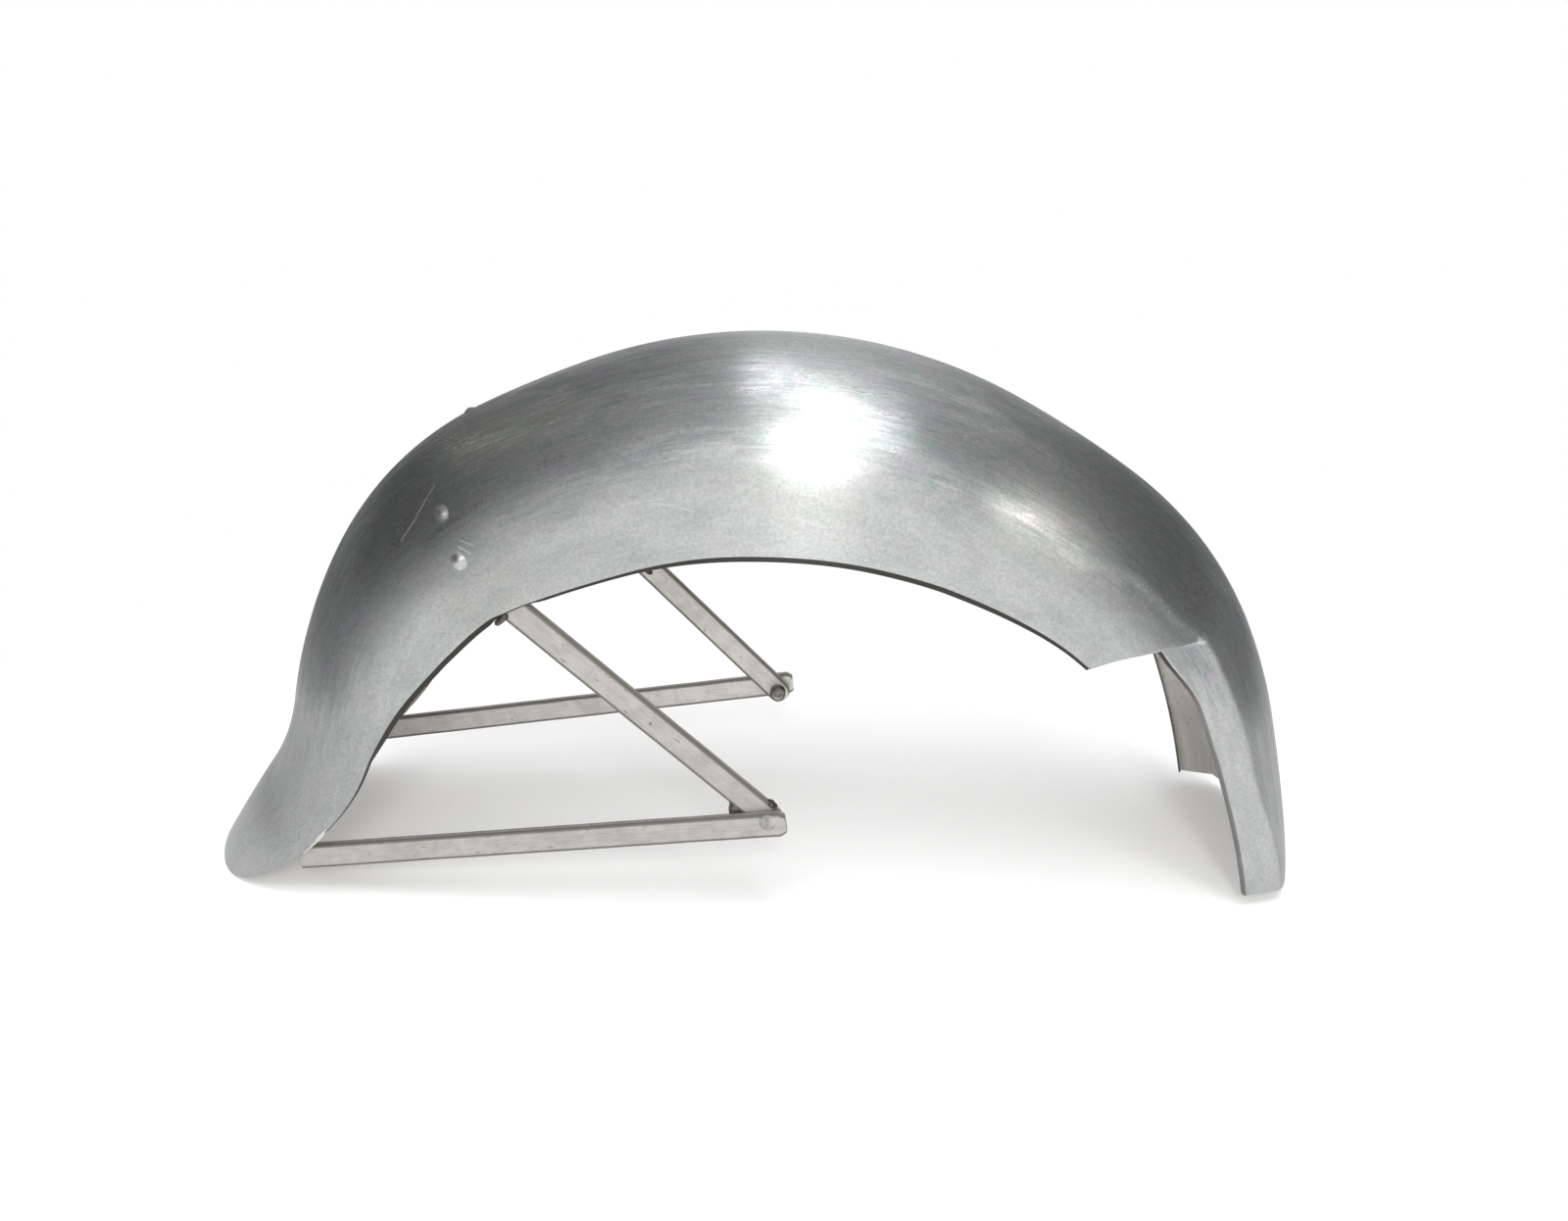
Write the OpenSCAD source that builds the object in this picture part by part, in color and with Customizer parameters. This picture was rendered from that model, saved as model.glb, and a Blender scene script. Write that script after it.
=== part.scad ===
// Rear fender for a motorcycle, raw pressed steel, with its four side stays.
// X runs forward, Y runs to the left side of the machine, Z runs up.
// It stands on the foot of its tongue and on its tail. The origin lies on the ground,
// under the middle of the length. The sizes below start from the line through the stay eyes.

/* [Crown line, from the foot of the tongue to the tail] */
// Middle of the length, behind the eye line
middle_back = 20.24; // [0:0.01:60]
// Height of the eye line over the ground
eye_height = 75.31; // [40:0.01:100]
// Foot of the tongue, forward of the eye line
foot_x = 376.2; // [340:1:420]
// Foot of the tongue, below the eye line
foot_z = -63.4; // [-100:0.1:-40]
// Heading of the tongue as it leaves the foot
foot_heading = 97.7; // [90:0.1:110]
// Tongue, length
tongue_run = 119.5; // [80:0.5:160]
// Tongue, turn
tongue_turn = 9; // [0:0.1:20]
// Knee over the tongue, length
knee_run = 66.6; // [40:0.1:100]
// Knee over the tongue, turn
knee_turn = 10.3; // [0:0.1:25]
// Front shoulder, length
front_run = 127.3; // [80:0.1:160]
// Front shoulder, turn
front_turn = 26.9; // [10:0.1:45]
// Front slope, length
slope_run = 98.9; // [60:0.1:140]
// Front slope, turn
slope_turn = 8.1; // [0:0.1:20]
// Top of the crown, length
top_run = 288.3; // [200:0.1:340]
// Top of the crown, turn
top_turn = 46.7; // [30:0.1:60]
// Back slope, length
back_run = 78.9; // [40:0.1:120]
// Back slope, turn
back_turn = 5.9; // [0:0.1:20]
// Rear shoulder, length
rear_run = 138.8; // [90:0.1:180]
// Rear shoulder, turn
rear_turn = 33.4; // [15:0.1:50]
// Rear fall, length
fall_run = 120; // [60:0.1:150]
// Rear fall, turn
fall_turn = 17.2; // [0:0.1:30]
// Kick at the tail, length
kick_run = 74; // [30:0.1:120]
// Kick at the tail, turn the other way
kick_turn = 22.6; // [0:0.1:40]
// Tail, length
tail_run = 74; // [30:0.1:120]
// Tail, turn
tail_turn = 3.6; // [0:0.1:15]

/* [Sheet and section] */
// Sheet thickness
sheet = 1.2; // [0.8:0.1:2]
// Half width across the skirts
half_w = 90.2; // [70:0.1:110]
// Height of the round part of the section
dome_h = 79; // [50:0.5:95]
// Width of the lip turned in along the lower edges
lip_w = 4; // [2:0.1:8]

/* [Skirts] */
// Skirt depth below the crown at the front corner
skirt_front = 102; // [80:0.5:130]
// Skirt depth below the crown over the wheel
skirt_mid = 119.5; // [90:0.5:140]
// Skirt depth below the crown behind the wheel
skirt_rear = 89.5; // [70:0.5:110]
// Edge depth where the tail begins to round off
tail_corner = 60; // [40:0.5:80]
// Length of the round end of the tail
tail_round = 90; // [40:1:140]

/* [Tongue] */
// Place of the front cut along the crown
cut_run = 221.5; // [180:0.5:260]
// Lean of the front cut, along the crown for each millimetre of depth
cut_lean = 0.785; // [0.3:0.005:1.2]
// Width of the pressed step under the front cut
step_w = 2.5; // [1.5:0.1:6]
// Depth of the tongue flank at the foot
flank_foot = 45.5; // [35:0.5:70]
// Depth of the tongue flank at the knee
flank_knee = 56.5; // [40:0.5:75]
// Depth of the tongue flank under the front cut
flank_top = 62; // [45:0.5:80]
// How far the tongue's fold stands inside the blade's half width, at the foot
fold_in = 13.7; // [4:0.1:25]
// Depth of the fold below the crown at the foot
fold_h = 21; // [15:0.5:45]
// Outward lean of the flank for each millimetre of depth
flank_lean = 0.25; // [0:0.01:0.6]
// How far the foot reaches past the start of the crown line
foot_drop = 2; // [0:0.1:6]
// How far the middle of the foot reaches past its folds
foot_round = 7; // [0:0.1:15]
// Length over which the tongue section becomes the round one
blend_run = 150; // [60:1:220]

/* [Stays] */
// Bar width
bar_w = 18.6; // [10:0.1:25]
// Bar thickness
bar_t = 5; // [3:0.1:8]
// Chamfer along the bar edges
bar_c = 1; // [0.3:0.1:2]
// How far the outer face of the stays at the eyes stands outside the blade
eye_out = 8.2; // [2:0.1:30]
// Bar length past the eye
eye_past = 12; // [8:0.5:25]
// Crown place of the hoop
hoop_run = 787; // [700:1:860]
// How far the hoop leans back along the crown at its near side
lean_near = 30; // [0:1:80]
// How far the hoop leans back along the crown at its far side
lean_far = 2; // [0:1:80]
// Rivets set back from the middle of the hoop on the near side
rivet_back = 3; // [0:0.1:4]
// Section angle where the hoop leaves the skirt
hoop_leave = 95; // [88:0.5:105]
// Slope of the near lower stay
slope_near = 7.4; // [0:0.1:15]
// Slope of the far lower stay
slope_far = 6.3; // [0:0.1:15]
// Lift of the near lower stay over the eye
lift_near = -2.8; // [-3:0.1:3]
// Lift of the far lower stay over the eye
lift_far = 2.8; // [-3:0.1:3]
// Length from the foot of the tongue back to the rear ends of the lower stays
low_reach = 711.2; // [660:0.1:760]
// How far the near lower stay's rear end stands inside the blade's half width
low_in_near = 7.5; // [4:0.1:20]
// How far the far lower stay's rear end stands inside the blade's half width
low_in_far = 10.2; // [4:0.1:20]

/* [Eyes and rivets] */
// Eye bush diameter
bush_d = 12.4; // [8:0.1:18]
// Eye bush length standing in from the stays
bush_in = 7.4; // [3:0.1:15]
// Eye bore diameter
bore_d = 6.4; // [4:0.1:10]
// Wall left at the outer end of the bush
bush_floor = 3; // [1:0.1:6]
// Rivet head diameter
head_d = 9; // [6:0.1:14]
// Rivet head height
head_h = 2.2; // [1:0.1:4]
// Rivet shank diameter
shank_d = 4.8; // [3:0.1:7]
// Section angles of the side rivets
rivet_low = 81; // [70:0.5:88]
// Section angle of the upper side rivets
rivet_high = 59; // [45:0.5:70]

/* [Hidden] */
seat = 0.3;
bends = [
    [tongue_run, tongue_turn], [knee_run, knee_turn], [front_run, front_turn],
    [slope_run, slope_turn], [top_run, top_turn], [back_run, back_turn],
    [rear_run, rear_turn], [fall_run, fall_turn], [kick_run, -kick_turn],
    [tail_run, tail_turn]
];
joint_count = len(bends);
// Place, heading and run at the start of each bend
starts = [
    for (i = 0, p = [foot_x, foot_z, foot_heading, 0]; i < joint_count;
        p = step_on(p, bends[i][0], bends[i][1], bends[i][0]), i = i + 1) p
];
crown_run = runs_to(joint_count - 1);
fold_u = 56;
dome_k = half_w * PI / 180;
flank_k = 1.25;
fold_w = half_w - fold_in;
fold_w0 = half_w * sin(fold_u);
fold_h0 = dome_h * (1 - cos(fold_u));
fold_a = 62;
inner_u = 46;
inner_share = 0.62;
tail_u = acos(1 - tail_corner / dome_h);
tail_power = 4.3;
corner_run = crown_run - tail_round;
shear_run = 0.4966 * cut_run;
level_run = 0.4966 * cut_run;
tail_from = 0.7826 * crown_run;
lip_least = 0.3;
lip_end = 0.892 * crown_run;
// The legs of the hoop cross the edge a little ahead of their seats
cross_back = 10;
cross_near = hoop_run + lean_near - cross_back;
cross_far = hoop_run + lean_far - cross_back;
lip_clear = bar_w - 0.6;
lip_ease = 20;
lip_fade = 60;
flank_rise = 45;
cols_in = 10;
cols_out = 6;
cols_fold = 2;
cols = cols_in + cols_out + 2;
rows_tongue = 14;
rows_main = 50;
rows = rows_tongue + rows_main + 2;
eye_y = half_w + eye_out;
low_run = low_reach - foot_x;
low_end_near = half_w - low_in_near;
low_end_far = half_w - low_in_far;
layer_1 = eye_y - bar_t;
layer_2 = layer_1 - bar_t;
bush_y = layer_2 - bush_in;

function runs_to(i) = i < 0 ? 0 : bends[i][0] + runs_to(i - 1);
function clamp01(v) = min(1, max(0, v));
function smooth(v) = clamp01(v) * clamp01(v) * (3 - 2 * clamp01(v));
function mix(a, b, f) = a + (b - a) * f;
// A pose [x, z, heading, run] carried on along an arc
function step_on(p, run, turn, used) =
    let (share = used / run, t = turn * share)
    abs(turn) < 0.01
        ? [p[0] + used * cos(p[2]), p[1] + used * sin(p[2]), p[2], p[3] + used]
        : let (r = run / turn * 180 / PI)
          [p[0] + r * (sin(p[2] + t) - sin(p[2])), p[1] - r * (cos(p[2] + t) - cos(p[2])),
           p[2] + t, p[3] + used];
function bend_at(s, i = 0) =
    i >= joint_count - 1 || s < starts[i + 1][3] ? i : bend_at(s, i + 1);
function pose(s) =
    let (i = bend_at(s)) step_on(starts[i], bends[i][0], bends[i][1], s - starts[i][3]);

// Edge depth along the crown between named places, eased from one to the next
edge_stops = [
    [cut_run + cut_lean * (skirt_front - fold_h0), skirt_front],
    [0.2819 * crown_run, 1.0147 * skirt_front], [0.3955 * crown_run, 0.9665 * skirt_mid],
    [0.5049 * crown_run, skirt_mid], [0.69 * crown_run, 0.9163 * skirt_mid],
    [0.7658 * crown_run, 0.8745 * skirt_mid], [0.8306 * crown_run, skirt_rear],
    [0.8836 * crown_run, 0.8492 * skirt_rear], [corner_run, tail_corner]
];
function slope_of(k) =
    let (n = len(edge_stops) - 1, a = edge_stops[max(0, k - 1)], b = edge_stops[min(n, k + 1)])
    (b[1] - a[1]) / (b[0] - a[0]);
function stop_at(s, i = 0) =
    i >= len(edge_stops) - 2 || s < edge_stops[i + 1][0] ? i : stop_at(s, i + 1);
function skirt_depth(s) =
    let (i = stop_at(s), a = edge_stops[i], b = edge_stops[i + 1], w = b[0] - a[0],
        f = clamp01((s - a[0]) / w))
    a[1] * (1 + 2 * f) * pow(1 - f, 2) + slope_of(i) * w * f * pow(1 - f, 2)
        + b[1] * f * f * (3 - 2 * f) - slope_of(i + 1) * w * f * f * (1 - f);
function flank_depth(s) =
    s < tongue_run + flank_rise
        ? mix(flank_foot, flank_knee, clamp01(s / (1.14 * tongue_run)))
        : mix(flank_knee, flank_top, smooth((s - tongue_run - flank_rise) / flank_rise));

// Section angle to depth and side, for the round section
function dome(u) =
    u <= 90
        ? [half_w * sin(u), dome_h * (1 - cos(u))]
        : [half_w, dome_h + (u - 90) * dome_k];
// The same for the flat crowned tongue with its fold and flank
function tongue(u, s) =
    let (f = clamp01(s / cut_run), fw = mix(fold_w, fold_w0, f), fh = mix(fold_h, fold_h0, smooth(2 * f)),
        a = fold_a * u / fold_u)
    u <= fold_u
        ? [fw * sin(a) / sin(fold_a), fh * (1 - cos(a)) / (1 - cos(fold_a))]
        : [fw + flank_lean * flank_k * (u - fold_u), fh + flank_k * (u - fold_u)];
function fold_share(s) = smooth((cut_run + 0.4 * blend_run - s) / blend_run);
function section(u, s, is_tongue) =
    u <= fold_u || is_tongue
        ? mix(dome(u), tongue(u, s), u <= fold_u ? fold_share(s) : 1)
        : dome(u);
function dome_angle(d) = d < dome_h ? acos(1 - d / dome_h) : 90 + (d - dome_h) / dome_k;
function flank_angle(d, s) =
    let (f = clamp01(s / cut_run), fh = mix(fold_h, fold_h0, smooth(2 * f)))
    fold_u + (d - fh) / flank_k;

// Crown place of each row
function row_run(i) =
    i <= rows_tongue
        ? cut_run * i / rows_tongue
        : cut_run + step_w + (crown_run - cut_run - step_w) * (i - rows_tongue - 1) / (rows - rows_tongue - 1);
// Edge [section angle, run] of a row
function row_edge(i) =
    let (s = row_run(i), f = clamp01((s - cut_run) / shear_run),
        t = clamp01((s - tail_from) / (crown_run - tail_from)))
    i <= rows_tongue
        ? [flank_angle(flank_depth(s), s), s]
        : s < tail_from
            ? let (e = s + cut_lean * (skirt_front - fold_h0) * (1 - f) * (1 - f))
              [dome_angle(skirt_depth(e)), e]
            : let (e = tail_from + (corner_run - tail_from) * (1.35 * t - 0.35 * t * t))
              [dome_angle(skirt_depth(e)), e];
// Section angle of a column in a row
function col_u(i, j) =
    let (ue = row_edge(i)[0], ui = min(inner_u, inner_share * ue))
    j <= cols_in ? ui * j / cols_in
        : i > rows_tongue ? mix(ui, ue, min(1, (j - cols_in) / cols_out))
        : j <= cols_in + cols_fold ? mix(ui, fold_u, (j - cols_in) / cols_fold)
        : mix(fold_u, ue, min(1, (j - cols_in - cols_fold) / (cols_out - cols_fold)));
function col_run(i, u) =
    let (s = row_run(i), e = row_edge(i), y = section(u, s, i <= rows_tongue)[1],
        past = max(0, y - fold_h0), f = clamp01((s - cut_run) / shear_run))
    i <= rows_tongue
        ? s + (tan(foot_heading - 90) * y - foot_drop - foot_round * (1 - pow(min(1, u / fold_u), 2)))
                * (1 - smooth(s / level_run))
            + cut_lean * past * smooth((s - level_run) / (cut_run - level_run))
        : s < tail_from
            ? s + cut_lean * past * (1 - f) * (1 - f)
            : s + (e[1] - s) * pow(u / e[0], tail_power);
// Point of the outer skin, side is -1 or 1, back is how far inside the skin
function skin(s, yd, side) =
    let (p = pose(s)) [p[0] - yd[1] * sin(p[2]), side * yd[0], p[1] + yd[1] * cos(p[2])];
// Share of the full lip, small where a stay crosses the edge and at the tail
function lip_share(s, side) =
    max(lip_least, smooth((lip_end - s) / lip_fade)
        * smooth((abs(s - (side < 0 ? cross_near : cross_far)) - lip_clear) / lip_ease));
function lip(i, j, side) =
    let (w = lip_w * (i <= rows_tongue ? 1 : lip_share(row_edge(i)[1], side)))
    j <= cols_in + cols_out ? [0, 0]
        : j == cols_in + cols_out + 1 ? [-0.22 * w, 0.4 * w] : [-w, 0.55 * w];
function node_point(i, jj) =
    let (j = abs(jj), side = jj < 0 ? -1 : 1, u = col_u(i, min(j, cols_in + cols_out)),
        s = col_run(i, u))
    skin(s, section(u, row_run(i), i <= rows_tongue) + lip(i, j, side), side);
function unit(v) = v / max(1e-9, norm(v));

outer = [for (i = [0:rows]) [for (j = [-cols:cols]) node_point(i, j)]];
width = 2 * cols + 1;
function normal_at(g, i, j) =
    let (a = g[min(rows, i + 1)][j] - g[max(0, i - 1)][j],
        b = g[i][min(width - 1, j + 1)] - g[i][max(0, j - 1)])
    unit(cross(b, a));
inner = [for (i = [0:rows]) [for (j = [0:width - 1]) outer[i][j] - sheet * normal_at(outer, i, j)]];

module sheet_solid() {
    count = (rows + 1) * width;
    points = concat([for (r = outer) for (p = r) p], [for (r = inner) for (p = r) p]);
    skins = [
        for (i = [0:rows - 1]) for (j = [0:width - 2])
            let (a = i * width + j, b = a + 1, c = a + width, d = c + 1)
            each [[a, c, b], [b, c, d], [a + count, b + count, c + count], [b + count, d + count, c + count]]
    ];
    ends = [
        for (j = [0:width - 2]) for (i = [0, rows])
            let (a = i * width + j, b = a + 1)
            each i == 0 ? [[a, b, a + count], [b, b + count, a + count]]
                : [[b, a, a + count], [b + count, b, a + count]]
    ];
    sides = [
        for (i = [0:rows - 1]) for (j = [0, width - 1])
            let (a = i * width + j, c = a + width)
            each j == 0 ? [[c, a, a + count], [c + count, c, a + count]]
                : [[a, c, a + count], [c, c + count, a + count]]
    ];
    polyhedron(points, concat(skins, ends, sides));
}

// Point on the round part of the blade, sunk by back below the outer skin
function seat_point(s, u, back) =
    let (p = pose(s), a = abs(u), yd = dome(a), n = a <= 90
        ? unit([sin(a) / half_w, -cos(a) / dome_h]) : [1, 0],
        q = yd - back * n, side = u < 0 ? -1 : 1)
    [p[0] - q[1] * sin(p[2]), side * q[0], p[1] + q[1] * cos(p[2])];
function hoop_s(u) = hoop_run + (u < 0 ? lean_near : lean_far) * pow(sin(u), 2);

// Centre line of the hoop, left eye to right eye
hoop_steps = 19;
leg_steps = 5;
hoop_ease = 0.15;
hoop_back = sheet + bar_t / 2 + hoop_ease;
function leg_point(side, f) =
    let (a = seat_point(hoop_s(side * hoop_leave), side * hoop_leave, hoop_back),
        e = [0, side * (layer_1 - bar_t / 2), 0], d = unit([a[0], 0, a[2]]))
    mix(a, e - eye_past * 0.8 * d, f);
hoop_line = concat(
    [for (k = [leg_steps:-1:1]) leg_point(-1, k / leg_steps)],
    [for (k = [-hoop_steps:hoop_steps])
        let (u = hoop_leave * k / hoop_steps) seat_point(hoop_s(u), u, hoop_back)],
    [for (k = [1:leg_steps]) leg_point(1, k / leg_steps)]
);
// Outward direction of the hoop face at each point
function face_dir(k) =
    let (m = k - leg_steps - hoop_steps, u = hoop_leave * min(1, abs(m) / hoop_steps),
        p = pose(hoop_s(m < 0 ? -u : u)), a = min(u, 90), n = unit([sin(a) / half_w, cos(a) / dome_h]),
        side = m < 0 ? -1 : 1)
    [n[1] * sin(p[2]), side * n[0], -n[1] * cos(p[2])];
bar_ring = [
    for (q = [[1, 1, 0], [1, 1, 1], [1, -1, 1], [1, -1, 0], [-1, -1, 0], [-1, -1, 1], [-1, 1, 1], [-1, 1, 0]])
        [q[0] * (bar_w / 2 - (q[2] == 1 ? 0 : bar_c)), q[1] * (bar_t / 2 - (q[2] == 1 ? bar_c : 0))]
];

module hoop_solid() {
    n = len(hoop_line);
    r = len(bar_ring);
    points = [
        for (k = [0:n - 1])
            let (t = unit(hoop_line[min(n - 1, k + 1)] - hoop_line[max(0, k - 1)]),
                f0 = face_dir(k), f = unit(f0 - (f0 * t) * t), w = cross(t, f))
            for (q = bar_ring) hoop_line[k] + w * q[0] + f * q[1]
    ];
    walls = [
        for (k = [0:n - 2]) for (m = [0:r - 1])
            let (a = k * r + m, b = k * r + (m + 1) % r, c = a + r, d = b + r)
            each [[a, b, c], [b, d, c]]
    ];
    caps = [[for (m = [r - 1:-1:0]) m], [for (m = [0:r - 1]) (n - 1) * r + m]];
    polyhedron(points, concat(walls, caps));
}

// A bar of the stays along X, its outer face on Y = 0 and its body toward +Y
module bar_along(run) {
    rotate([90, 0, 90])
        linear_extrude(height = run)
            polygon([for (q = bar_ring) [q[1] + bar_t / 2, q[0]]]);
}

module lower_stay(side) {
    swing = atan((eye_y - (side < 0 ? low_end_near : low_end_far)) / low_run);
    difference() {
        scale([1, -side, 1])
            translate([0, -eye_y, side < 0 ? lift_near : lift_far])
                rotate([0, side < 0 ? -slope_near : -slope_far, 0])
                    rotate([0, 0, -swing])
                        translate([-low_run, 0, 0])
                            bar_along(low_run + eye_past);
        eye_hole(side);
    }
}

module eye_hole(side) {
    rotate([-90 * side, 0, 0])
        translate([0, 0, layer_2 - bar_t])
            cylinder(h = 4 * bar_t, d = bush_d, $fn = 48);
}

module upper_stay() {
    difference() {
        hoop_solid();
        eye_hole(-1);
        eye_hole(1);
        rivet_holes();
    }
}

module eye_bush(side) {
    rotate([-90 * side, 0, 0])
        translate([0, 0, bush_y])
            difference() {
                cylinder(h = eye_y - bush_y, d = bush_d, $fn = 48);
                translate([0, 0, -1])
                    cylinder(h = eye_y - bush_y - bush_floor + 1, d = bore_d, $fn = 48);
            }
}

rivet_spots = [-rivet_low, -rivet_high, 0, rivet_high, rivet_low];

// Puts a child at a rivet, its Z axis out of the blade and its zero on the outer skin
module at_rivet(u) {
    s = hoop_s(u) + (u < 0 ? rivet_back : 0);
    p = seat_point(s, u, 0);
    k = pose(s);
    a = abs(u);
    n = unit([sin(a) / half_w, cos(a) / dome_h]);
    d = [n[1] * sin(k[2]), (u < 0 ? -1 : 1) * n[0], -n[1] * cos(k[2])];
    tilt = acos(d[2]);
    spin = atan2(d[1], d[0]);
    translate(p)
        rotate([0, tilt, spin])
            children();
}

module rivet_holes() {
    for (u = rivet_spots)
        at_rivet(u)
            translate([0, 0, -sheet - bar_t - 4])
                cylinder(h = sheet + bar_t + 8, d = shank_d, $fn = 24);
}

module rivet() {
    grip = sheet + bar_t + hoop_ease;
    rotate_extrude($fn = 32)
        polygon(concat(
            [[0, -grip - 1], [shank_d / 2 + 1.2, -grip - 1], [shank_d / 2 + 1.2, -grip + 0.1],
             [shank_d / 2, -grip + 0.1], [shank_d / 2, -seat / 2], [head_d / 2, -seat / 2]],
            [for (a = [15:15:75]) [head_d / 2 * cos(a), head_h * sin(a)]],
            [[0, head_h]]
        ));
}

module placed() {
    translate([middle_back, 0, eye_height])
        children();
}

module blade() {
    color("silver")
        placed()
            difference() {
                sheet_solid();
                rivet_holes();
            }
}

module stay_hoop() {
    color("gainsboro")
        placed()
            upper_stay();
}

module lower_stay_near() {
    color("gainsboro")
        placed()
            lower_stay(-1);
}

module lower_stay_far() {
    color("gainsboro")
        placed()
            lower_stay(1);
}

module eye_bush_near() {
    color("gray")
        placed()
            eye_bush(-1);
}

module eye_bush_far() {
    color("gray")
        placed()
            eye_bush(1);
}

module rivets() {
    color("lightgray")
        placed()
            for (u = rivet_spots)
                at_rivet(u)
                    rivet();
}

// Which sub-part to draw

blade();
stay_hoop();
lower_stay_near();
lower_stay_far();
eye_bush_near();
eye_bush_far();
rivets();
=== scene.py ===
"""Looks of a raw steel motorcycle rear fender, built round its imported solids.

The blade is one pressed sheet with a stepped tongue and a kicked tail. Flat bar stays run from a
hoop inside the crown to an eye on each side, and from the eyes back to the tail.
Lengths in the classes of the fender are millimetres. Meshes, pattern maps and the studio's lamps and
floor are in metres.
"""

from __future__ import annotations

import logging
import math
from dataclasses import dataclass, field
from enum import Enum
from functools import cached_property
from typing import Callable, Sequence

import bmesh
import bpy
from mathutils import Matrix, Vector, noise


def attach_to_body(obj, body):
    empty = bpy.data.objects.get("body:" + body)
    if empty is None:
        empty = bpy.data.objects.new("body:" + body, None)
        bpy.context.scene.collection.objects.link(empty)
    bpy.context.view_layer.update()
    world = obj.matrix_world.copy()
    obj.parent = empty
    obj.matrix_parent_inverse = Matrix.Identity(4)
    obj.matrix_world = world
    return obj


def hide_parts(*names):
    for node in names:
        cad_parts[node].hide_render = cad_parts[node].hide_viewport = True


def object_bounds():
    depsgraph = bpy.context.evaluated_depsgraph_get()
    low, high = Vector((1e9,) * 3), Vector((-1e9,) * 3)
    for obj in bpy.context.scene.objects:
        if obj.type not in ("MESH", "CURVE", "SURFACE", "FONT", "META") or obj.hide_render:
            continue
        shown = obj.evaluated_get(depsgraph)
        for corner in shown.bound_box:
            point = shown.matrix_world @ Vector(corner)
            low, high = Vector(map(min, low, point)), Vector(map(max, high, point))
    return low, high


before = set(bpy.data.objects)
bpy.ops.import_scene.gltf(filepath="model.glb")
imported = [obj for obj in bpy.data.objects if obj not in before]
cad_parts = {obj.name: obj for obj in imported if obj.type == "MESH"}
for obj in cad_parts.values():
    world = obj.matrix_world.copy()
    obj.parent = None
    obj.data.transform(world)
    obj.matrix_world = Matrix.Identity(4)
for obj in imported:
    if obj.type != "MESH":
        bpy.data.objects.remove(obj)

CAD_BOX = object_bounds()
LOG = logging.getLogger("fender")
MM = 0.001
MERGE = 1e-6
SHARP_DEG = 40.0
EYE_X, EYE_Z = 20.24, 75.31

Point = tuple[float, float, float]
Colour = tuple[float, float, float]
Span = tuple[float, float]
Socket = bpy.types.NodeSocket
Inputs = dict[int | str, object]

WHITE: Colour = (1.0, 1.0, 1.0)
LIT_MIDDLE: Point = (0.05, 0.0, 0.30)


def clamp(value: float, low: float = 0.0, high: float = 1.0) -> float:
    """Keeps a value between two limits."""
    return min(high, max(low, value))


def smooth(value: float) -> float:
    """Eases a share from 0 to 1."""
    f = clamp(value)
    return f * f * (3 - 2 * f)


def mix(a: float, b: float, share: float) -> float:
    """Blends two numbers."""
    return a + (b - a) * share


def sin_d(angle: float) -> float:
    """Sine of an angle in degrees."""
    return math.sin(math.radians(angle))


def cos_d(angle: float) -> float:
    """Cosine of an angle in degrees."""
    return math.cos(math.radians(angle))


# Shape of the blade


@dataclass(frozen=True)
class CrownLine:
    """The crown in the middle plane, as arcs that follow each other from the foot to the tail."""

    foot: Span = (EYE_X + 376.2, EYE_Z - 63.4)
    heading: float = 97.7
    bends: tuple[Span, ...] = (
        (119.5, 9.0), (66.6, 10.3), (127.3, 26.9), (98.9, 8.1), (288.3, 46.7),
        (78.9, 5.9), (138.8, 33.4), (120.0, 17.2), (74.0, -22.6), (74.0, 3.6),
    )

    @property
    def run(self) -> float:
        """Length of the whole line."""
        return sum(length for length, _ in self.bends)

    def pose(self, s: float) -> tuple[float, float, float]:
        """Place and heading at a run along the crown.

        Args:
            s: Run from the foot.

        Returns:
            The x, the z and the heading in degrees.
        """
        x, z = self.foot
        heading, left = self.heading, s
        last = len(self.bends) - 1
        for index, (length, turn) in enumerate(self.bends):
            used = left if index == last else min(left, length)
            radius = length / math.radians(turn)
            after = heading + turn * used / length
            x += radius * (sin_d(after) - sin_d(heading))
            z -= radius * (cos_d(after) - cos_d(heading))
            heading, left = after, left - used
            if left <= 0:
                break
        return x, z, heading


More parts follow.
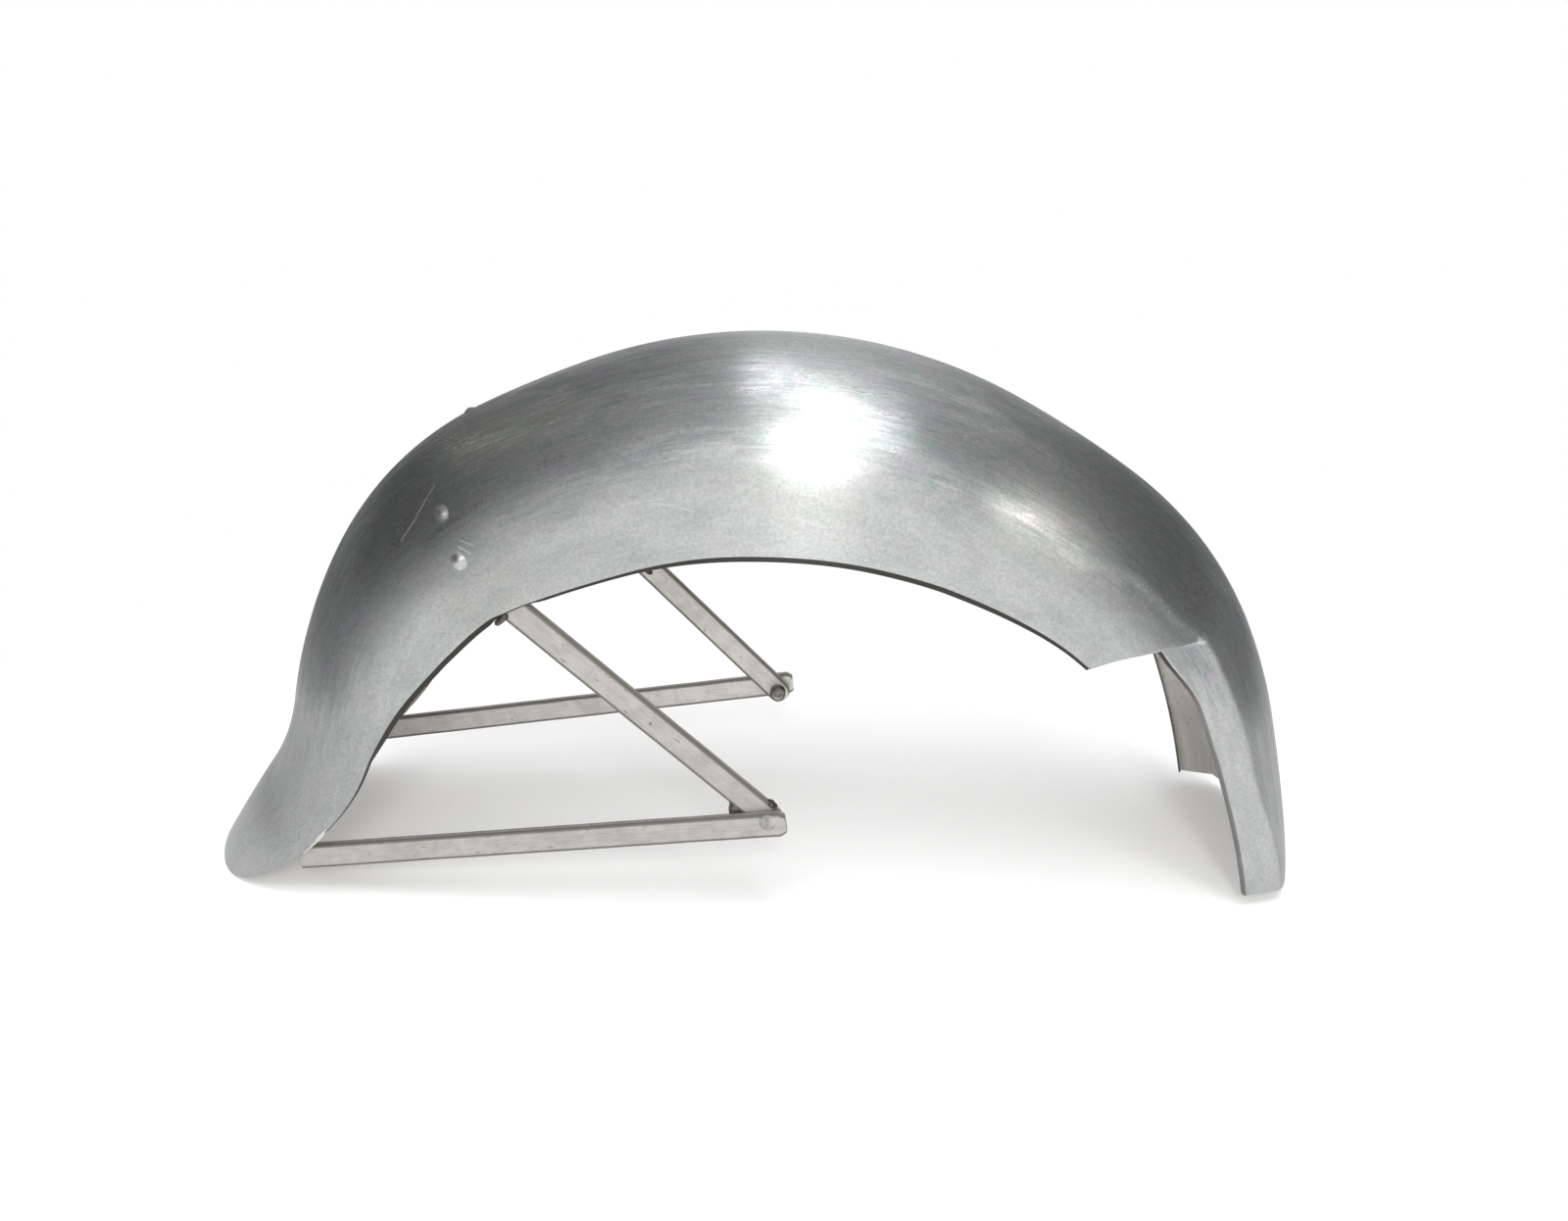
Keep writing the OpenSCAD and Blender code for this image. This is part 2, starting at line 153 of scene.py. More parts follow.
@dataclass(frozen=True)
class BladeShape:
    """Section, skirts, tongue, step, lip and tail of the pressed sheet.

    Runs go along the crown from the foot, depths go down from it, and section angles are degrees from it.
    """

    crown: CrownLine = field(default_factory=CrownLine)
    sheet: float = 1.2
    half_w: float = 90.2
    dome_h: float = 79.0
    lip_w: float = 4.0
    lip_radius: float = 2.2
    lip_least: float = 0.3
    lip_end: float = 1060.0
    lip_fade: float = 60.0
    lip_clear: float = 18.0
    lip_ease: float = 20.0
    crossings: Span = (807.0, 779.0)
    skirt_front: float = 102.0
    skirt: tuple[Span, ...] = (
        (335, 103.5), (470, 115.5), (600, 119.5), (820, 109.5), (910, 104.5), (987, 89.5), (1050, 76),
    )
    tail_corner: float = 60.0
    tail_round: float = 90.0
    tail_from: float = 930.0
    tail_power: float = 4.3
    cut_run: float = 221.5
    cut_lean: float = 0.785
    shear_run: float = 110.0
    level_run: float = 110.0
    step_w: float = 2.5
    flank: tuple[float, float, float] = (45.5, 56.5, 62.0)
    flank_run: float = 164.5
    flank_ease: float = 45.0
    knee_reach: float = 1.14
    fold_w: float = 76.5
    fold_h: float = 21.0
    fold_u: float = 56.0
    fold_a: float = 62.0
    foot_drop: float = 2.0
    foot_round: float = 7.0
    flank_lean: float = 0.25
    flank_k: float = 1.25
    blend_run: float = 150.0
    blend_past: float = 60.0
    inner_u: float = 46.0
    inner_share: float = 0.62

    @property
    def dome_k(self) -> float:
        """Depth for each degree of section angle below the round part."""
        return self.half_w * math.pi / 180

    @property
    def fold_w0(self) -> float:
        """Half width at the fold where the tongue meets the round section."""
        return self.half_w * sin_d(self.fold_u)

    @property
    def fold_h0(self) -> float:
        """Depth of the fold where the tongue meets the round section."""
        return self.dome_h * (1 - cos_d(self.fold_u))

    @property
    def corner_run(self) -> float:
        """Run at which the skirt's edge ends and the round end of the tail begins."""
        return self.crown.run - self.tail_round

    @property
    def edge_stops(self) -> list[tuple[float, float]]:
        """Run and depth of the skirt's edge at its named places."""
        corner = self.cut_run + self.cut_lean * (self.skirt_front - self.fold_h0)
        return [(corner, self.skirt_front), *self.skirt, (self.corner_run, self.tail_corner)]

    def skirt_depth(self, s: float) -> float:
        """Depth of the skirt's edge below the crown.

        Args:
            s: Run of the edge point.

        Returns:
            The depth, eased between the named places.
        """
        stops = self.edge_stops
        i = 0
        while i < len(stops) - 2 and s >= stops[i + 1][0]:
            i += 1

        def slope(k: int) -> float:
            """Slope of the edge at a named place."""
            a, b = stops[max(0, k - 1)], stops[min(len(stops) - 1, k + 1)]
            return (b[1] - a[1]) / (b[0] - a[0])

        (s0, d0), (s1, d1) = stops[i], stops[i + 1]
        w = s1 - s0
        f = clamp((s - s0) / w)
        return (
            d0 * (1 + 2 * f) * (1 - f) ** 2 + slope(i) * w * f * (1 - f) ** 2
            + d1 * f * f * (3 - 2 * f) - slope(i + 1) * w * f * f * (1 - f)
        )

    def flank_depth(self, s: float) -> float:
        """Depth of the tongue flank's edge at a run.

        Args:
            s: Run along the crown.

        Returns:
            The depth below the crown.
        """
        foot, knee, top = self.flank
        if s < self.flank_run:
            return mix(foot, knee, clamp(s / (self.knee_reach * self.crown.bends[0][0])))
        return mix(knee, top, smooth((s - self.flank_run) / self.flank_ease))

    def dome(self, u: float) -> tuple[float, float]:
        """Side and depth of the round section at an angle.

        Args:
            u: Section angle from the crown.

        Returns:
            The side and the depth.
        """
        if u <= 90:
            return self.half_w * sin_d(u), self.dome_h * (1 - cos_d(u))
        return self.half_w, self.dome_h + (u - 90) * self.dome_k

    def fold_depth(self, s: float) -> float:
        """Depth of the tongue's fold below the crown at a run."""
        return mix(self.fold_h, self.fold_h0, smooth(2 * clamp(s / self.cut_run)))

    def tongue(self, u: float, s: float) -> tuple[float, float]:
        """Side and depth of the tongue's section, with its flat crown, fold and flank.

        Args:
            u: Section angle from the crown.
            s: Run along the crown.

        Returns:
            The side and the depth.
        """
        fw = mix(self.fold_w, self.fold_w0, clamp(s / self.cut_run))
        fh = self.fold_depth(s)
        if u <= self.fold_u:
            a = self.fold_a * u / self.fold_u
            full = self.fold_a
            return fw * sin_d(a) / sin_d(full), fh * (1 - cos_d(a)) / (1 - cos_d(full))
        past = self.flank_k * (u - self.fold_u)
        return fw + self.flank_lean * past, fh + past

    def section(self, u: float, s: float, on_tongue: float) -> tuple[float, float]:
        """Side and depth at an angle and a run.

        Args:
            u: Section angle from the crown.
            s: Run along the crown.
            on_tongue: 1 on the tongue, 0 behind its step, between them on the step.

        Returns:
            The side and the depth.
        """
        round_y, round_d = self.dome(u)
        fold_y, fold_d = self.tongue(u, s)
        share = on_tongue
        if u <= self.fold_u:
            share = smooth((self.cut_run + self.blend_past - s) / self.blend_run)
        return mix(round_y, fold_y, share), mix(round_d, fold_d, share)

    def dome_angle(self, depth: float) -> float:
        """Section angle of a depth on the round section.

        Args:
            depth: Depth below the crown.

        Returns:
            The angle in degrees.
        """
        if depth < self.dome_h:
            return math.degrees(math.acos(1 - depth / self.dome_h))
        return 90 + (depth - self.dome_h) / self.dome_k

    def skin(self, s: float, side: float, depth: float) -> Point:
        """A point from its run, its side and its depth below the crown."""
        x, z, h = self.crown.pose(s)
        return x - depth * sin_d(h), side, z + depth * cos_d(h)

    def lip_share(self, s: float, side: int) -> float:
        """Share of the full lip, small where a stay crosses the edge and at the tail.

        Args:
            s: Run of the edge point.
            side: -1 on the near side, 1 on the far side.

        Returns:
            The share, never below the least.
        """
        cross = self.crossings[0 if side < 0 else 1]
        near_stay = smooth((abs(s - cross) - self.lip_clear) / self.lip_ease)
        return max(self.lip_least, smooth((self.lip_end - s) / self.lip_fade) * near_stay)

    def seat(self, s: float, u: float, back: float) -> Point:
        """A point on the round part of the blade, sunk below the outer skin.

        Args:
            s: Run along the crown.
            u: Section angle, below 0 on the near side.
            back: How far below the outer skin.

        Returns:
            The point.
        """
        a = abs(u)
        y, d = self.dome(a)
        ny, nd = (sin_d(a) / self.half_w, -cos_d(a) / self.dome_h) if a <= 90 else (1.0, 0.0)
        size = math.hypot(ny, nd)
        y, d = y - back * ny / size, d - back * nd / size
        return self.skin(s, math.copysign(y, u), d)

    def outward(self, s: float, u: float) -> Vector:
        """Direction out of the blade at a run and a section angle.

        Args:
            s: Run along the crown.
            u: Section angle, below 0 on the near side.

        Returns:
            The unit direction.
        """
        heading = self.crown.pose(s)[2]
        a = min(abs(u), 90)
        n = Vector((sin_d(a) / self.half_w, cos_d(a) / self.dome_h)).normalized()
        side = -1 if u < 0 else 1
        return Vector((n.y * sin_d(heading), side * n.x, -n.y * cos_d(heading))).normalized()


# Mesh helpers


def grid_mesh(
    rows: int,
    cols: int,
    place: Callable[[int, int], Point],
    pattern: Callable[[int, int], tuple[float, float]],
) -> tuple[bmesh.types.BMesh, dict[int, tuple[int, int]]]:
    """A bmesh grid whose points are put on a surface, with its pattern map in metres.

    Args:
        rows: Number of rows of points.
        cols: Number of points in a row.
        place: Gives the point, in millimetres, of a row and a column.
        pattern: Gives the pattern map of a row and a column.

    Returns:
        The bmesh, and the row and column of each vertex index.
    """
    bm = bmesh.new()
    bmesh.ops.create_grid(bm, x_segments=rows - 1, y_segments=cols - 1, size=1.0)
    bm.verts.ensure_lookup_table()
    spots: dict[int, tuple[int, int]] = {}
    for vert in bm.verts:
        i = round((vert.co.x + 1) / 2 * (rows - 1))
        j = round((vert.co.y + 1) / 2 * (cols - 1))
        spots[vert.index] = (i, j)
    layer = bm.loops.layers.uv.new("UVMap")
    for face in bm.faces:
        for loop in face.loops:
            loop[layer].uv = pattern(*spots[loop.vert.index])
    for vert in bm.verts:
        vert.co = Vector(place(*spots[vert.index])) * MM
    return bm, spots


def close_tube(bm: bmesh.types.BMesh) -> None:
    """Joins the seam of a swept tube, fills its two ends and turns its faces outwards.

    Args:
        bm: The tube, changed in place.
    """
    bmesh.ops.remove_doubles(bm, verts=bm.verts, dist=MERGE)
    rim = [edge for edge in bm.edges if edge.is_boundary]
    bmesh.ops.holes_fill(bm, edges=rim, sides=0)
    bmesh.ops.recalc_face_normals(bm, faces=bm.faces)


def to_object(
    bm: bmesh.types.BMesh, name: str, materials: Sequence[bpy.types.Material]
) -> bpy.types.Object:
    """Makes an object at the origin from a bmesh and frees the bmesh.

    Args:
        bm: The mesh.
        name: The name of the object.
        materials: Its materials, in the order of their numbers.

    Returns:
        The object.
    """
    mesh = bpy.data.meshes.new(name)
    bm.to_mesh(mesh)
    bm.free()
    for material in materials:
        mesh.materials.append(material)
    piece = bpy.data.objects.new(name, mesh)
    bpy.context.scene.collection.objects.link(piece)
    return piece


def settle(piece: bpy.types.Object, sharp_deg: float) -> bpy.types.Object:
    """Applies a piece's modifiers, keeps it in the solids' box and shades it smooth between sharp edges.

    Args:
        piece: The piece, at the origin.
        sharp_deg: Edges that turn more than this stay sharp.

    Returns:
        The same piece.
    """
    bpy.context.view_layer.update()
    graph = bpy.context.evaluated_depsgraph_get()
    made = bpy.data.meshes.new_from_object(piece.evaluated_get(graph), depsgraph=graph)
    name = piece.data.name
    old = piece.data
    piece.modifiers.clear()
    piece.data = made
    bpy.data.meshes.remove(old)
    made.name = name
    low, high = CAD_BOX
    for vert in made.vertices:
        vert.co = [clamp(vert.co[k], low[k], high[k]) for k in range(3)]
    for polygon in made.polygons:
        polygon.use_smooth = True
    made.set_sharp_from_angle(angle=math.radians(sharp_deg))
    return piece


def attach(piece: bpy.types.Object, nodes: Sequence[str] = ()) -> None:
    """Lets a piece ride on the fender and stand for CAD nodes.

    Args:
        piece: The piece.
        nodes: The CAD nodes that the piece replaces, none for a small extra.
    """
    if nodes:
        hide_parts(*nodes)
    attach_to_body(piece, "root")
    triangles = sum(len(p.vertices) - 2 for p in piece.data.polygons)
    LOG.info("%s: %d triangles", piece.name, triangles)


# Finishes


class Nodes:
    """Adds nodes and links to one node tree."""

    def __init__(self, tree: bpy.types.NodeTree) -> None:
        """Starts with an empty tree.

        Args:
            tree: The tree of a material or of the world.
        """
        self.tree = tree
        tree.nodes.clear()

    def node(self, kind: str, inputs: Inputs | None = None, **settings: object) -> bpy.types.Node:
        """Adds a node.

        Args:
            kind: The node's type name, without its common start.
            inputs: Values or sockets by input name or number.
            **settings: Properties of the node.

        Returns:
            The node.
        """
        made = self.tree.nodes.new("ShaderNode" + kind)
        for key, value in settings.items():
            setattr(made, key, value)
        for key, value in (inputs or {}).items():
            self.feed(made.inputs[key], value)
        return made

    def feed(self, socket: Socket, value: object) -> None:
        """Links a socket to an input, or sets the input's own value.

        Args:
            socket: The input.
            value: A socket, a number, a vector or a colour.
        """
        if isinstance(value, Socket):
            self.tree.links.new(value, socket)
        elif socket.type == "RGBA":
            socket.default_value = (*value, 1.0)
        else:
            socket.default_value = value

    def math(self, operation: str, a: object, b: object = 0.0, clamped: bool = False) -> Socket:
        """Output of a Math node."""
        return self.node("Math", {0: a, 1: b}, operation=operation, use_clamp=clamped).outputs[0]

    def plus(self, a: object, b: object, clamped: bool = False) -> Socket:
        """Sum of two values."""
        return self.math("ADD", a, b, clamped)

    def minus(self, a: object, b: object) -> Socket:
        """Difference of two values."""
        return self.math("SUBTRACT", a, b)

    def times(self, a: object, b: object) -> Socket:
        """Product of two values."""
        return self.math("MULTIPLY", a, b)

    def most(self, a: object, b: object) -> Socket:
        """Larger of two values."""
        return self.math("MAXIMUM", a, b)

    def share(self, a: object, b: object, of_a: float) -> Socket:
        """Two values added in shares that make one."""
        return self.plus(self.times(a, of_a), self.times(b, 1.0 - of_a))

    def vector(self, operation: str, a: object, b: object = (0.0, 0.0, 0.0)) -> bpy.types.Node:
        """A Vector Math node."""
        return self.node("VectorMath", {0: a, 1: b}, operation=operation)

    def length(self, vector: Socket) -> Socket:
        """Length of a vector."""
        return self.vector("LENGTH", vector).outputs["Value"]

    def scale(self, vector: object, amount: object) -> Socket:
        """A colour or a vector multiplied by a value."""
        return self.node("VectorMath", {0: vector, "Scale": amount}, operation="SCALE").outputs[0]

    def spread(
        self, value: Socket, low: float, high: float, to_low: float = 0.0, to_high: float = 1.0,
    ) -> Socket:
        """Maps a range of a value onto another, smoothly and clamped."""
        inputs = {"Value": value, "From Min": low, "From Max": high, "To Min": to_low, "To Max": to_high}
        return self.node("MapRange", inputs, interpolation_type="SMOOTHSTEP").outputs[0]

    def blend(self, share: object, a: object, b: object) -> Socket:
        """Mixes two colours."""
        return self.node("Mix", {0: share, 6: a, 7: b}, data_type="RGBA").outputs[2]


class Shader(Nodes):
    """Builds one material around a Principled shader."""

    def __init__(self, name: str) -> None:
        """Starts a material.

        Args:
            name: The material's name.
        """
        self.material = bpy.data.materials.new(name)
        self.material.use_nodes = True
        super().__init__(self.material.node_tree)
        self.surface = self.node("BsdfPrincipled")
        self.output = self.node("OutputMaterial", {0: self.surface.outputs[0]})

    @cached_property
    def here(self) -> Socket:
        """Object coordinates."""
        return self.node("TexCoord").outputs["Object"]

    @cached_property
    def pattern(self) -> Socket:
        """The piece's own pattern map, in metres."""
        return self.node("UVMap", uv_map="UVMap").outputs[0]

    def put(self, name: str, value: object) -> None:
        """Feeds an input of the Principled shader."""
        self.feed(self.surface.inputs[name], value)

    def finish(self, colour: object, metal: object, rough: object, normal: object) -> bpy.types.Material:
        """Feeds the four inputs that every steel has.

        Args:
            colour: The base colour.
            metal: How metallic it is.
            rough: Its roughness.
            normal: Its normal.

        Returns:
            The material.
        """
        self.put("Base Color", colour)
        self.put("Metallic", metal)
        self.put("Roughness", rough)
        self.put("Normal", normal)
        return self.material

    def attribute(self, name: str) -> Socket:
        """A value that the mesh's points carry."""
        return self.node("Attribute", attribute_name=name).outputs["Fac"]

    def mapping(self, vector: Socket, scale: Point, location: Point = (0, 0, 0)) -> Socket:
        """A vector scaled and moved."""
        return self.node("Mapping", {"Vector": vector, "Scale": scale, "Location": location}).outputs[0]

    def noise(
        self, vector: Socket, scale: float, detail: float = 4.0, rough: float = 0.5, warp: float = 0.0,
    ) -> Socket:
        """The grey output of a Noise Texture."""
        inputs = {"Vector": vector, "Scale": scale, "Detail": detail, "Roughness": rough, "Distortion": warp}
        return self.node("TexNoise", inputs).outputs[0]

    def streaks(
        self, scale: Span, detail: float, rough: float = 0.5, warp: float = 0.0, shift: Point = (0, 0, 0),
    ) -> Socket:
        """Noise on the pattern map, with a scale along the piece and one across it."""
        return self.noise(self.mapping(self.pattern, (*scale, 1.0), shift), 1.0, detail, rough, warp)

    def near_line(self, a: Span, b: Span, width: float) -> Socket:
        """A mask that is 1 on a line of the pattern map and fades to 0 away from it.

        Args:
            a: One end of the line, in metres.
            b: The other end.
            width: Distance at which the mask is 0.

        Returns:
            The mask.
        """
        step = Vector((b[0] - a[0], b[1] - a[1], 0.0))
        offset = self.vector("SUBTRACT", self.pattern, (*a, 0.0)).outputs[0]
        along = self.vector("DOT_PRODUCT", offset, tuple(step)).outputs["Value"]
        share = self.math("DIVIDE", along, step.length_squared, True)
        gap = self.length(self.vector("SUBTRACT", offset, self.scale(tuple(step), share)).outputs[0])
        return self.spread(gap, 0.0, width, 1.0, 0.0)

    def bump(self, height: object, strength: float, distance: float, under: object = None) -> Socket:
        """Normal of a Bump node, over another normal where one is given."""
        inputs = {"Height": height, "Strength": strength, "Distance": distance}
        return self.node("Bump", inputs if under is None else {**inputs, "Normal": under}).outputs[0]


class Mark(Enum):
    """Kinds of mark on the brushed sheet, with the width of each in metres."""

    SCRATCH = 0.0009
    SCUFF = 0.007


@dataclass(frozen=True)
class SurfaceMark:
    """A line of the pattern map, in metres, with the kind of mark it carries."""

    start: Span
    end: Span
    kind: Mark
    strength: float = 1.0


@dataclass(frozen=True)
class BrushedSheet:
    """Raw pressed steel, brushed along its length, with blotches, scratches and scuffs, and painted shade on
    its skirts, tongue, tail and under its lip.

    The spans are metres of the pattern map: run is along the crown, way is round the section.
    """

    name: str = "raw_sheet_steel"
    light: Colour = (0.67, 0.68, 0.67)
    dark: Colour = (0.41, 0.435, 0.44)
    warm: Colour = (0.60, 0.585, 0.53)
    cool: Colour = (0.45, 0.55, 0.52)
    violet: Colour = (0.57, 0.50, 0.58)
    haze: Colour = (0.34, 0.36, 0.37)
    bare: Colour = (0.88, 0.89, 0.88)
    # Near-black colour of the painted shade along the lip.
    rim: Colour = (0.035, 0.03, 0.026)
    rough: Span = (0.24, 0.38)
    skirt_way: Span = (0.095, 0.135)
    tail_run: Span = (0.98, 1.08)
    tongue_run: Span = (0.10, 0.24)
    # The front, fall and strip spans place painted shade on the tongue's front, down to the tail and beside
    # the fold.
    front_shade_run: Span = (0.17, 0.23)
    tail_shade_run: Span = (0.90, 1.06)
    plain_run: Span = (0.95, 1.06)
    fold_shade_run: Span = (0.10, 0.19)
    fold_shade_way: Span = (0.082, 0.0885)
    rim_run: Span = (0.15, 0.24)
    # Spans where the painted shade along the lip widens: the middle, and the painted shadow behind the near
    # leg.
    lip_shade_from: Span = (0.27, 0.42)
    lip_shade_to: Span = (0.60, 0.74)
    leg_shadow_from: Span = (0.815, 0.835)
    leg_shadow_to: Span = (1.04, 1.10)
    line_w: float = 0.0003
    line_more: float = 0.0016
    marks: tuple[SurfaceMark, ...] = (
        SurfaceMark((0.810, -0.071), (0.834, -0.085), Mark.SCRATCH),
        SurfaceMark((0.834, -0.085), (0.852, -0.090), Mark.SCRATCH),
        SurfaceMark((0.812, -0.119), (0.806, -0.128), Mark.SCRATCH),
        SurfaceMark((0.808, -0.116), (0.800, -0.124), Mark.SCRATCH, 0.8),
        SurfaceMark((0.666, -0.139), (0.634, -0.149), Mark.SCRATCH, 0.5),
        SurfaceMark((0.690, -0.135), (0.655, -0.138), Mark.SCRATCH, 0.4),
        SurfaceMark((0.378, -0.107), (0.332, -0.105), Mark.SCUFF, 0.5),
        SurfaceMark((0.332, -0.105), (0.300, -0.099), Mark.SCUFF, 0.8),
        SurfaceMark((0.300, -0.099), (0.252, -0.100), Mark.SCUFF),
        SurfaceMark((0.252, -0.100), (0.226, -0.092), Mark.SCUFF, 0.9),
        # This scuff by the step is wear and partly a painted highlight at the fold's top.
        SurfaceMark((0.223, -0.092), (0.203, -0.090), Mark.SCUFF, 0.9),
    )

    def calm(self, s: Shader, run: Socket, way: Socket) -> Socket:
        """Where the brushing is faint: on the skirts, the tail and the tongue.

        Args:
            s: The shader.
            run: Run along the crown.
            way: Way round the section.

        Returns:
            The mask.
        """
        calm = s.most(s.spread(way, *self.skirt_way), s.spread(run, *self.tail_run))
        return s.most(calm, s.spread(run, *self.tongue_run, 1.0, 0.0))

    def tone(self, s: Shader, brushed: Socket, calm: Socket) -> Socket:
        """How light the steel is, from its brushing and its blotches.

        Args:
            s: The shader.
            brushed: The brushed lines.
            calm: Where the brushing is faint.

        Returns:
            The tone, from 0 to 1.
        """
        blotched = s.share(brushed, s.streaks((22.0, 62.0), 5.0, 0.62, 0.5), 0.55)
        swing = s.spread(calm, 0.0, 1.0, 1.5, 0.42)
        swung = s.plus(0.5, s.times(s.minus(blotched, 0.5), swing))
        return s.plus(swung, s.times(calm, 0.06), True)

    def shade(self, s: Shader, run: Socket, way: Socket, calm: Socket) -> Socket:
        """Painted shade: darkens the calm places, the tongue's upper strip beside the fold, the front and the
        fall to the tail.

        Args:
            s: The shader.
            run: Run along the crown.
            way: Way round the section.
            calm: Where the brushing is faint.

        Returns:
            The factor of the colour.
        """
        # Painted shade: a streaky darker strip beside the fold, darker calm places, a darker front and a
        # darker tail.
        strip = s.times(s.spread(run, *self.fold_shade_run, 1.0, 0.0), s.spread(way, *self.fold_shade_way, 1.0, 0.0))
        rows = s.spread(s.streaks((5.0, 110.0), 2.0), 0.35, 0.65, 0.3, 0.16)
        shade = s.minus(s.spread(calm, 0.0, 1.0, 1.0, 0.81), s.times(strip, rows))
        shade = s.times(shade, s.spread(run, *self.front_shade_run, 0.88, 1.0))
        return s.times(shade, s.spread(run, *self.tail_shade_run, 1.0, 0.66))

    def colour(self, s: Shader, tone: Socket, calm: Socket, shade: Socket) -> Socket:
        """The steel's colour before it is worn, with warm, cool and violet stains.

        Args:
            s: The shader.
            tone: How light the steel is.
            calm: Where the brushing is faint.
            shade: The painted shade, a factor of the colour.

        Returns:
            The colour.
        """
        colour = s.blend(s.spread(tone, 0.36, 0.64), self.dark, self.light)
        tint = s.noise(s.here, 11.0, 2.0, 0.5)
        colour = s.blend(s.spread(tint, 0.52, 0.75, 0.0, 0.3), colour, self.warm)
        stain = s.streaks((38.0, 70.0), 3.0, 0.6, 0.4, (3.1, 1.7, 0.0))
        tinted = s.spread(calm, 0.0, 1.0, 1.0, 0.5)
        cool = s.times(s.spread(stain, 0.52, 0.64, 0.0, 0.5), tinted)
        violet = s.times(s.spread(stain, 0.34, 0.46, 0.45, 0.0), tinted)
        colour = s.blend(violet, s.blend(cool, colour, self.cool), self.violet)
        colour = s.scale(colour, shade)
        cloud = s.noise(s.here, 6.5, 3.0, 0.5, 0.4)
        colour = s.blend(s.spread(cloud, 0.38, 0.6, 0.16, 0.0), colour, self.haze)
        grain = s.noise(s.here, 520.0, 3.0, 0.7)
        return s.scale(colour, s.spread(grain, 0.3, 0.7, 0.88, 1.1))

    def worn(self, s: Shader) -> tuple[object, Socket]:
        """Masks of the marks.

        Args:
            s: The shader.

        Returns:
            The scratches, and the speckled scuffs.
        """
        lines: dict[Mark, object] = {kind: 0.0 for kind in Mark}
        for mark in self.marks:
            line = s.times(s.near_line(mark.start, mark.end, mark.kind.value), mark.strength)
            lines[mark.kind] = s.most(lines[mark.kind], line)
        specks = s.spread(s.streaks((520.0, 760.0), 3.0, 0.7), 0.52, 0.70, 0.1, 0.9)
        return lines[Mark.SCRATCH], s.times(lines[Mark.SCUFF], specks)

    def lip_shade_line(self, s: Shader, run: Socket) -> Socket:
        """Mask of the painted shade along the lip, wider at the middle and where the near leg casts painted
        shadow.

        Args:
            s: The shader.
            run: Run along the crown.

        Returns:
            The mask.
        """
        middle = s.times(s.spread(run, *self.lip_shade_from), s.spread(run, *self.lip_shade_to, 1.0, 0.0))
        behind = s.times(s.spread(run, *self.leg_shadow_from), s.spread(run, *self.leg_shadow_to, 0.85, 0.0))
        wide = s.plus(self.line_w, s.times(s.plus(middle, behind), self.line_more))
        line = s.spread(s.minus(s.attribute("edge_gap"), wide), -self.line_w, self.line_w, 1.0, 0.0)
        return s.times(line, s.spread(run, *self.rim_run, 0.6, 0.95))

    def make(self) -> bpy.types.Material:
        """Builds the material.

        Returns:
            The material.
        """
        s = Shader(self.name)
        axes = s.node("SeparateXYZ", {0: s.pattern}).outputs
        run, way = axes["X"], s.math("ABSOLUTE", axes["Y"])
        brushed = s.share(s.streaks((30.0, 900.0), 3.0, 0.6), s.streaks((14.0, 300.0), 4.0, 0.65), 0.5)
        calm = self.calm(s, run, way)
        tone = self.tone(s, brushed, calm)
        scratch, scuffed = self.worn(s)
        worn = s.most(scratch, scuffed)
        colour = self.colour(s, tone, calm, self.shade(s, run, way, calm))
        colour = s.blend(s.times(worn, 0.8), colour, self.bare)
        # Painted shade along the lip.
        colour = s.blend(self.lip_shade_line(s, run), colour, self.rim)
        plain = s.plus(s.times(scuffed, 0.34), s.spread(run, *self.plain_run, 0.0, 0.4), True)
        rough = s.plus(s.spread(tone, 0.3, 0.7, self.rough[1], self.rough[0]), s.times(calm, 0.08))
        rough = s.plus(rough, s.times(worn, 0.18), True)
        waves = s.bump(s.noise(s.here, 9.0, 2.0, 0.4), 0.10, 0.004)
        lines = s.minus(brushed, s.times(scratch, 0.4))
        s.put("Anisotropic", 0.92)
        s.put("Anisotropic Rotation", 0.25)
        s.put("Tangent", s.node("Tangent", direction_type="UV_MAP", uv_map="UVMap").outputs[0])
        return s.finish(colour, s.minus(1.0, plain), rough, s.bump(lines, 0.22, 0.0006, waves))


@dataclass(frozen=True)
class MillSkin:
    """Unbrushed inside of the sheet: duller, stained, with faint marks of the press."""

    name: str = "inner_mill_steel"
    light: Colour = (0.68, 0.67, 0.65)
    dark: Colour = (0.50, 0.485, 0.465)
    pit: Colour = (0.16, 0.14, 0.12)

    def make(self) -> bpy.types.Material:
        """Builds the material.

        Returns:
            The material.
        """
        s = Shader(self.name)
        pit = s.noise(s.here, 420.0, 2.0, 0.5)
        tone = s.share(s.noise(s.here, 12.0, 5.0, 0.6, 0.6), s.streaks((6.0, 70.0), 4.0, 0.6), 0.6)
        colour = s.blend(s.spread(tone, 0.36, 0.66), self.dark, self.light)
        colour = s.blend(s.spread(pit, 0.62, 0.72, 0.0, 0.4), colour, self.pit)
        normal = s.bump(tone, 0.2, 0.0008, s.bump(pit, 0.12, 0.0003))
        return s.finish(colour, 0.25, s.spread(tone, 0.3, 0.7, 0.62, 0.46), normal)


@dataclass(frozen=True)
class ShearedEdge:
    """Sheared edge of the sheet, dark with oxide and with painted shade that outlines the sheet, with bright
    drag lines.
    """

    name: str = "sheared_edge"
    light: Colour = (0.34, 0.32, 0.3)
    dark: Colour = (0.09, 0.08, 0.07)

    def make(self) -> bpy.types.Material:
        """Builds the material.

        Returns:
            The material.
        """
        s = Shader(self.name)
        grain = s.noise(s.here, 700.0, 3.0, 0.6)
        tone = s.share(grain, s.noise(s.here, 40.0, 2.0, 0.5), 0.5)
        colour = s.blend(s.spread(tone, 0.35, 0.68), self.dark, self.light)
        return s.finish(colour, 0.9, s.spread(tone, 0.3, 0.7, 0.55, 0.38), s.bump(grain, 0.3, 0.0003))


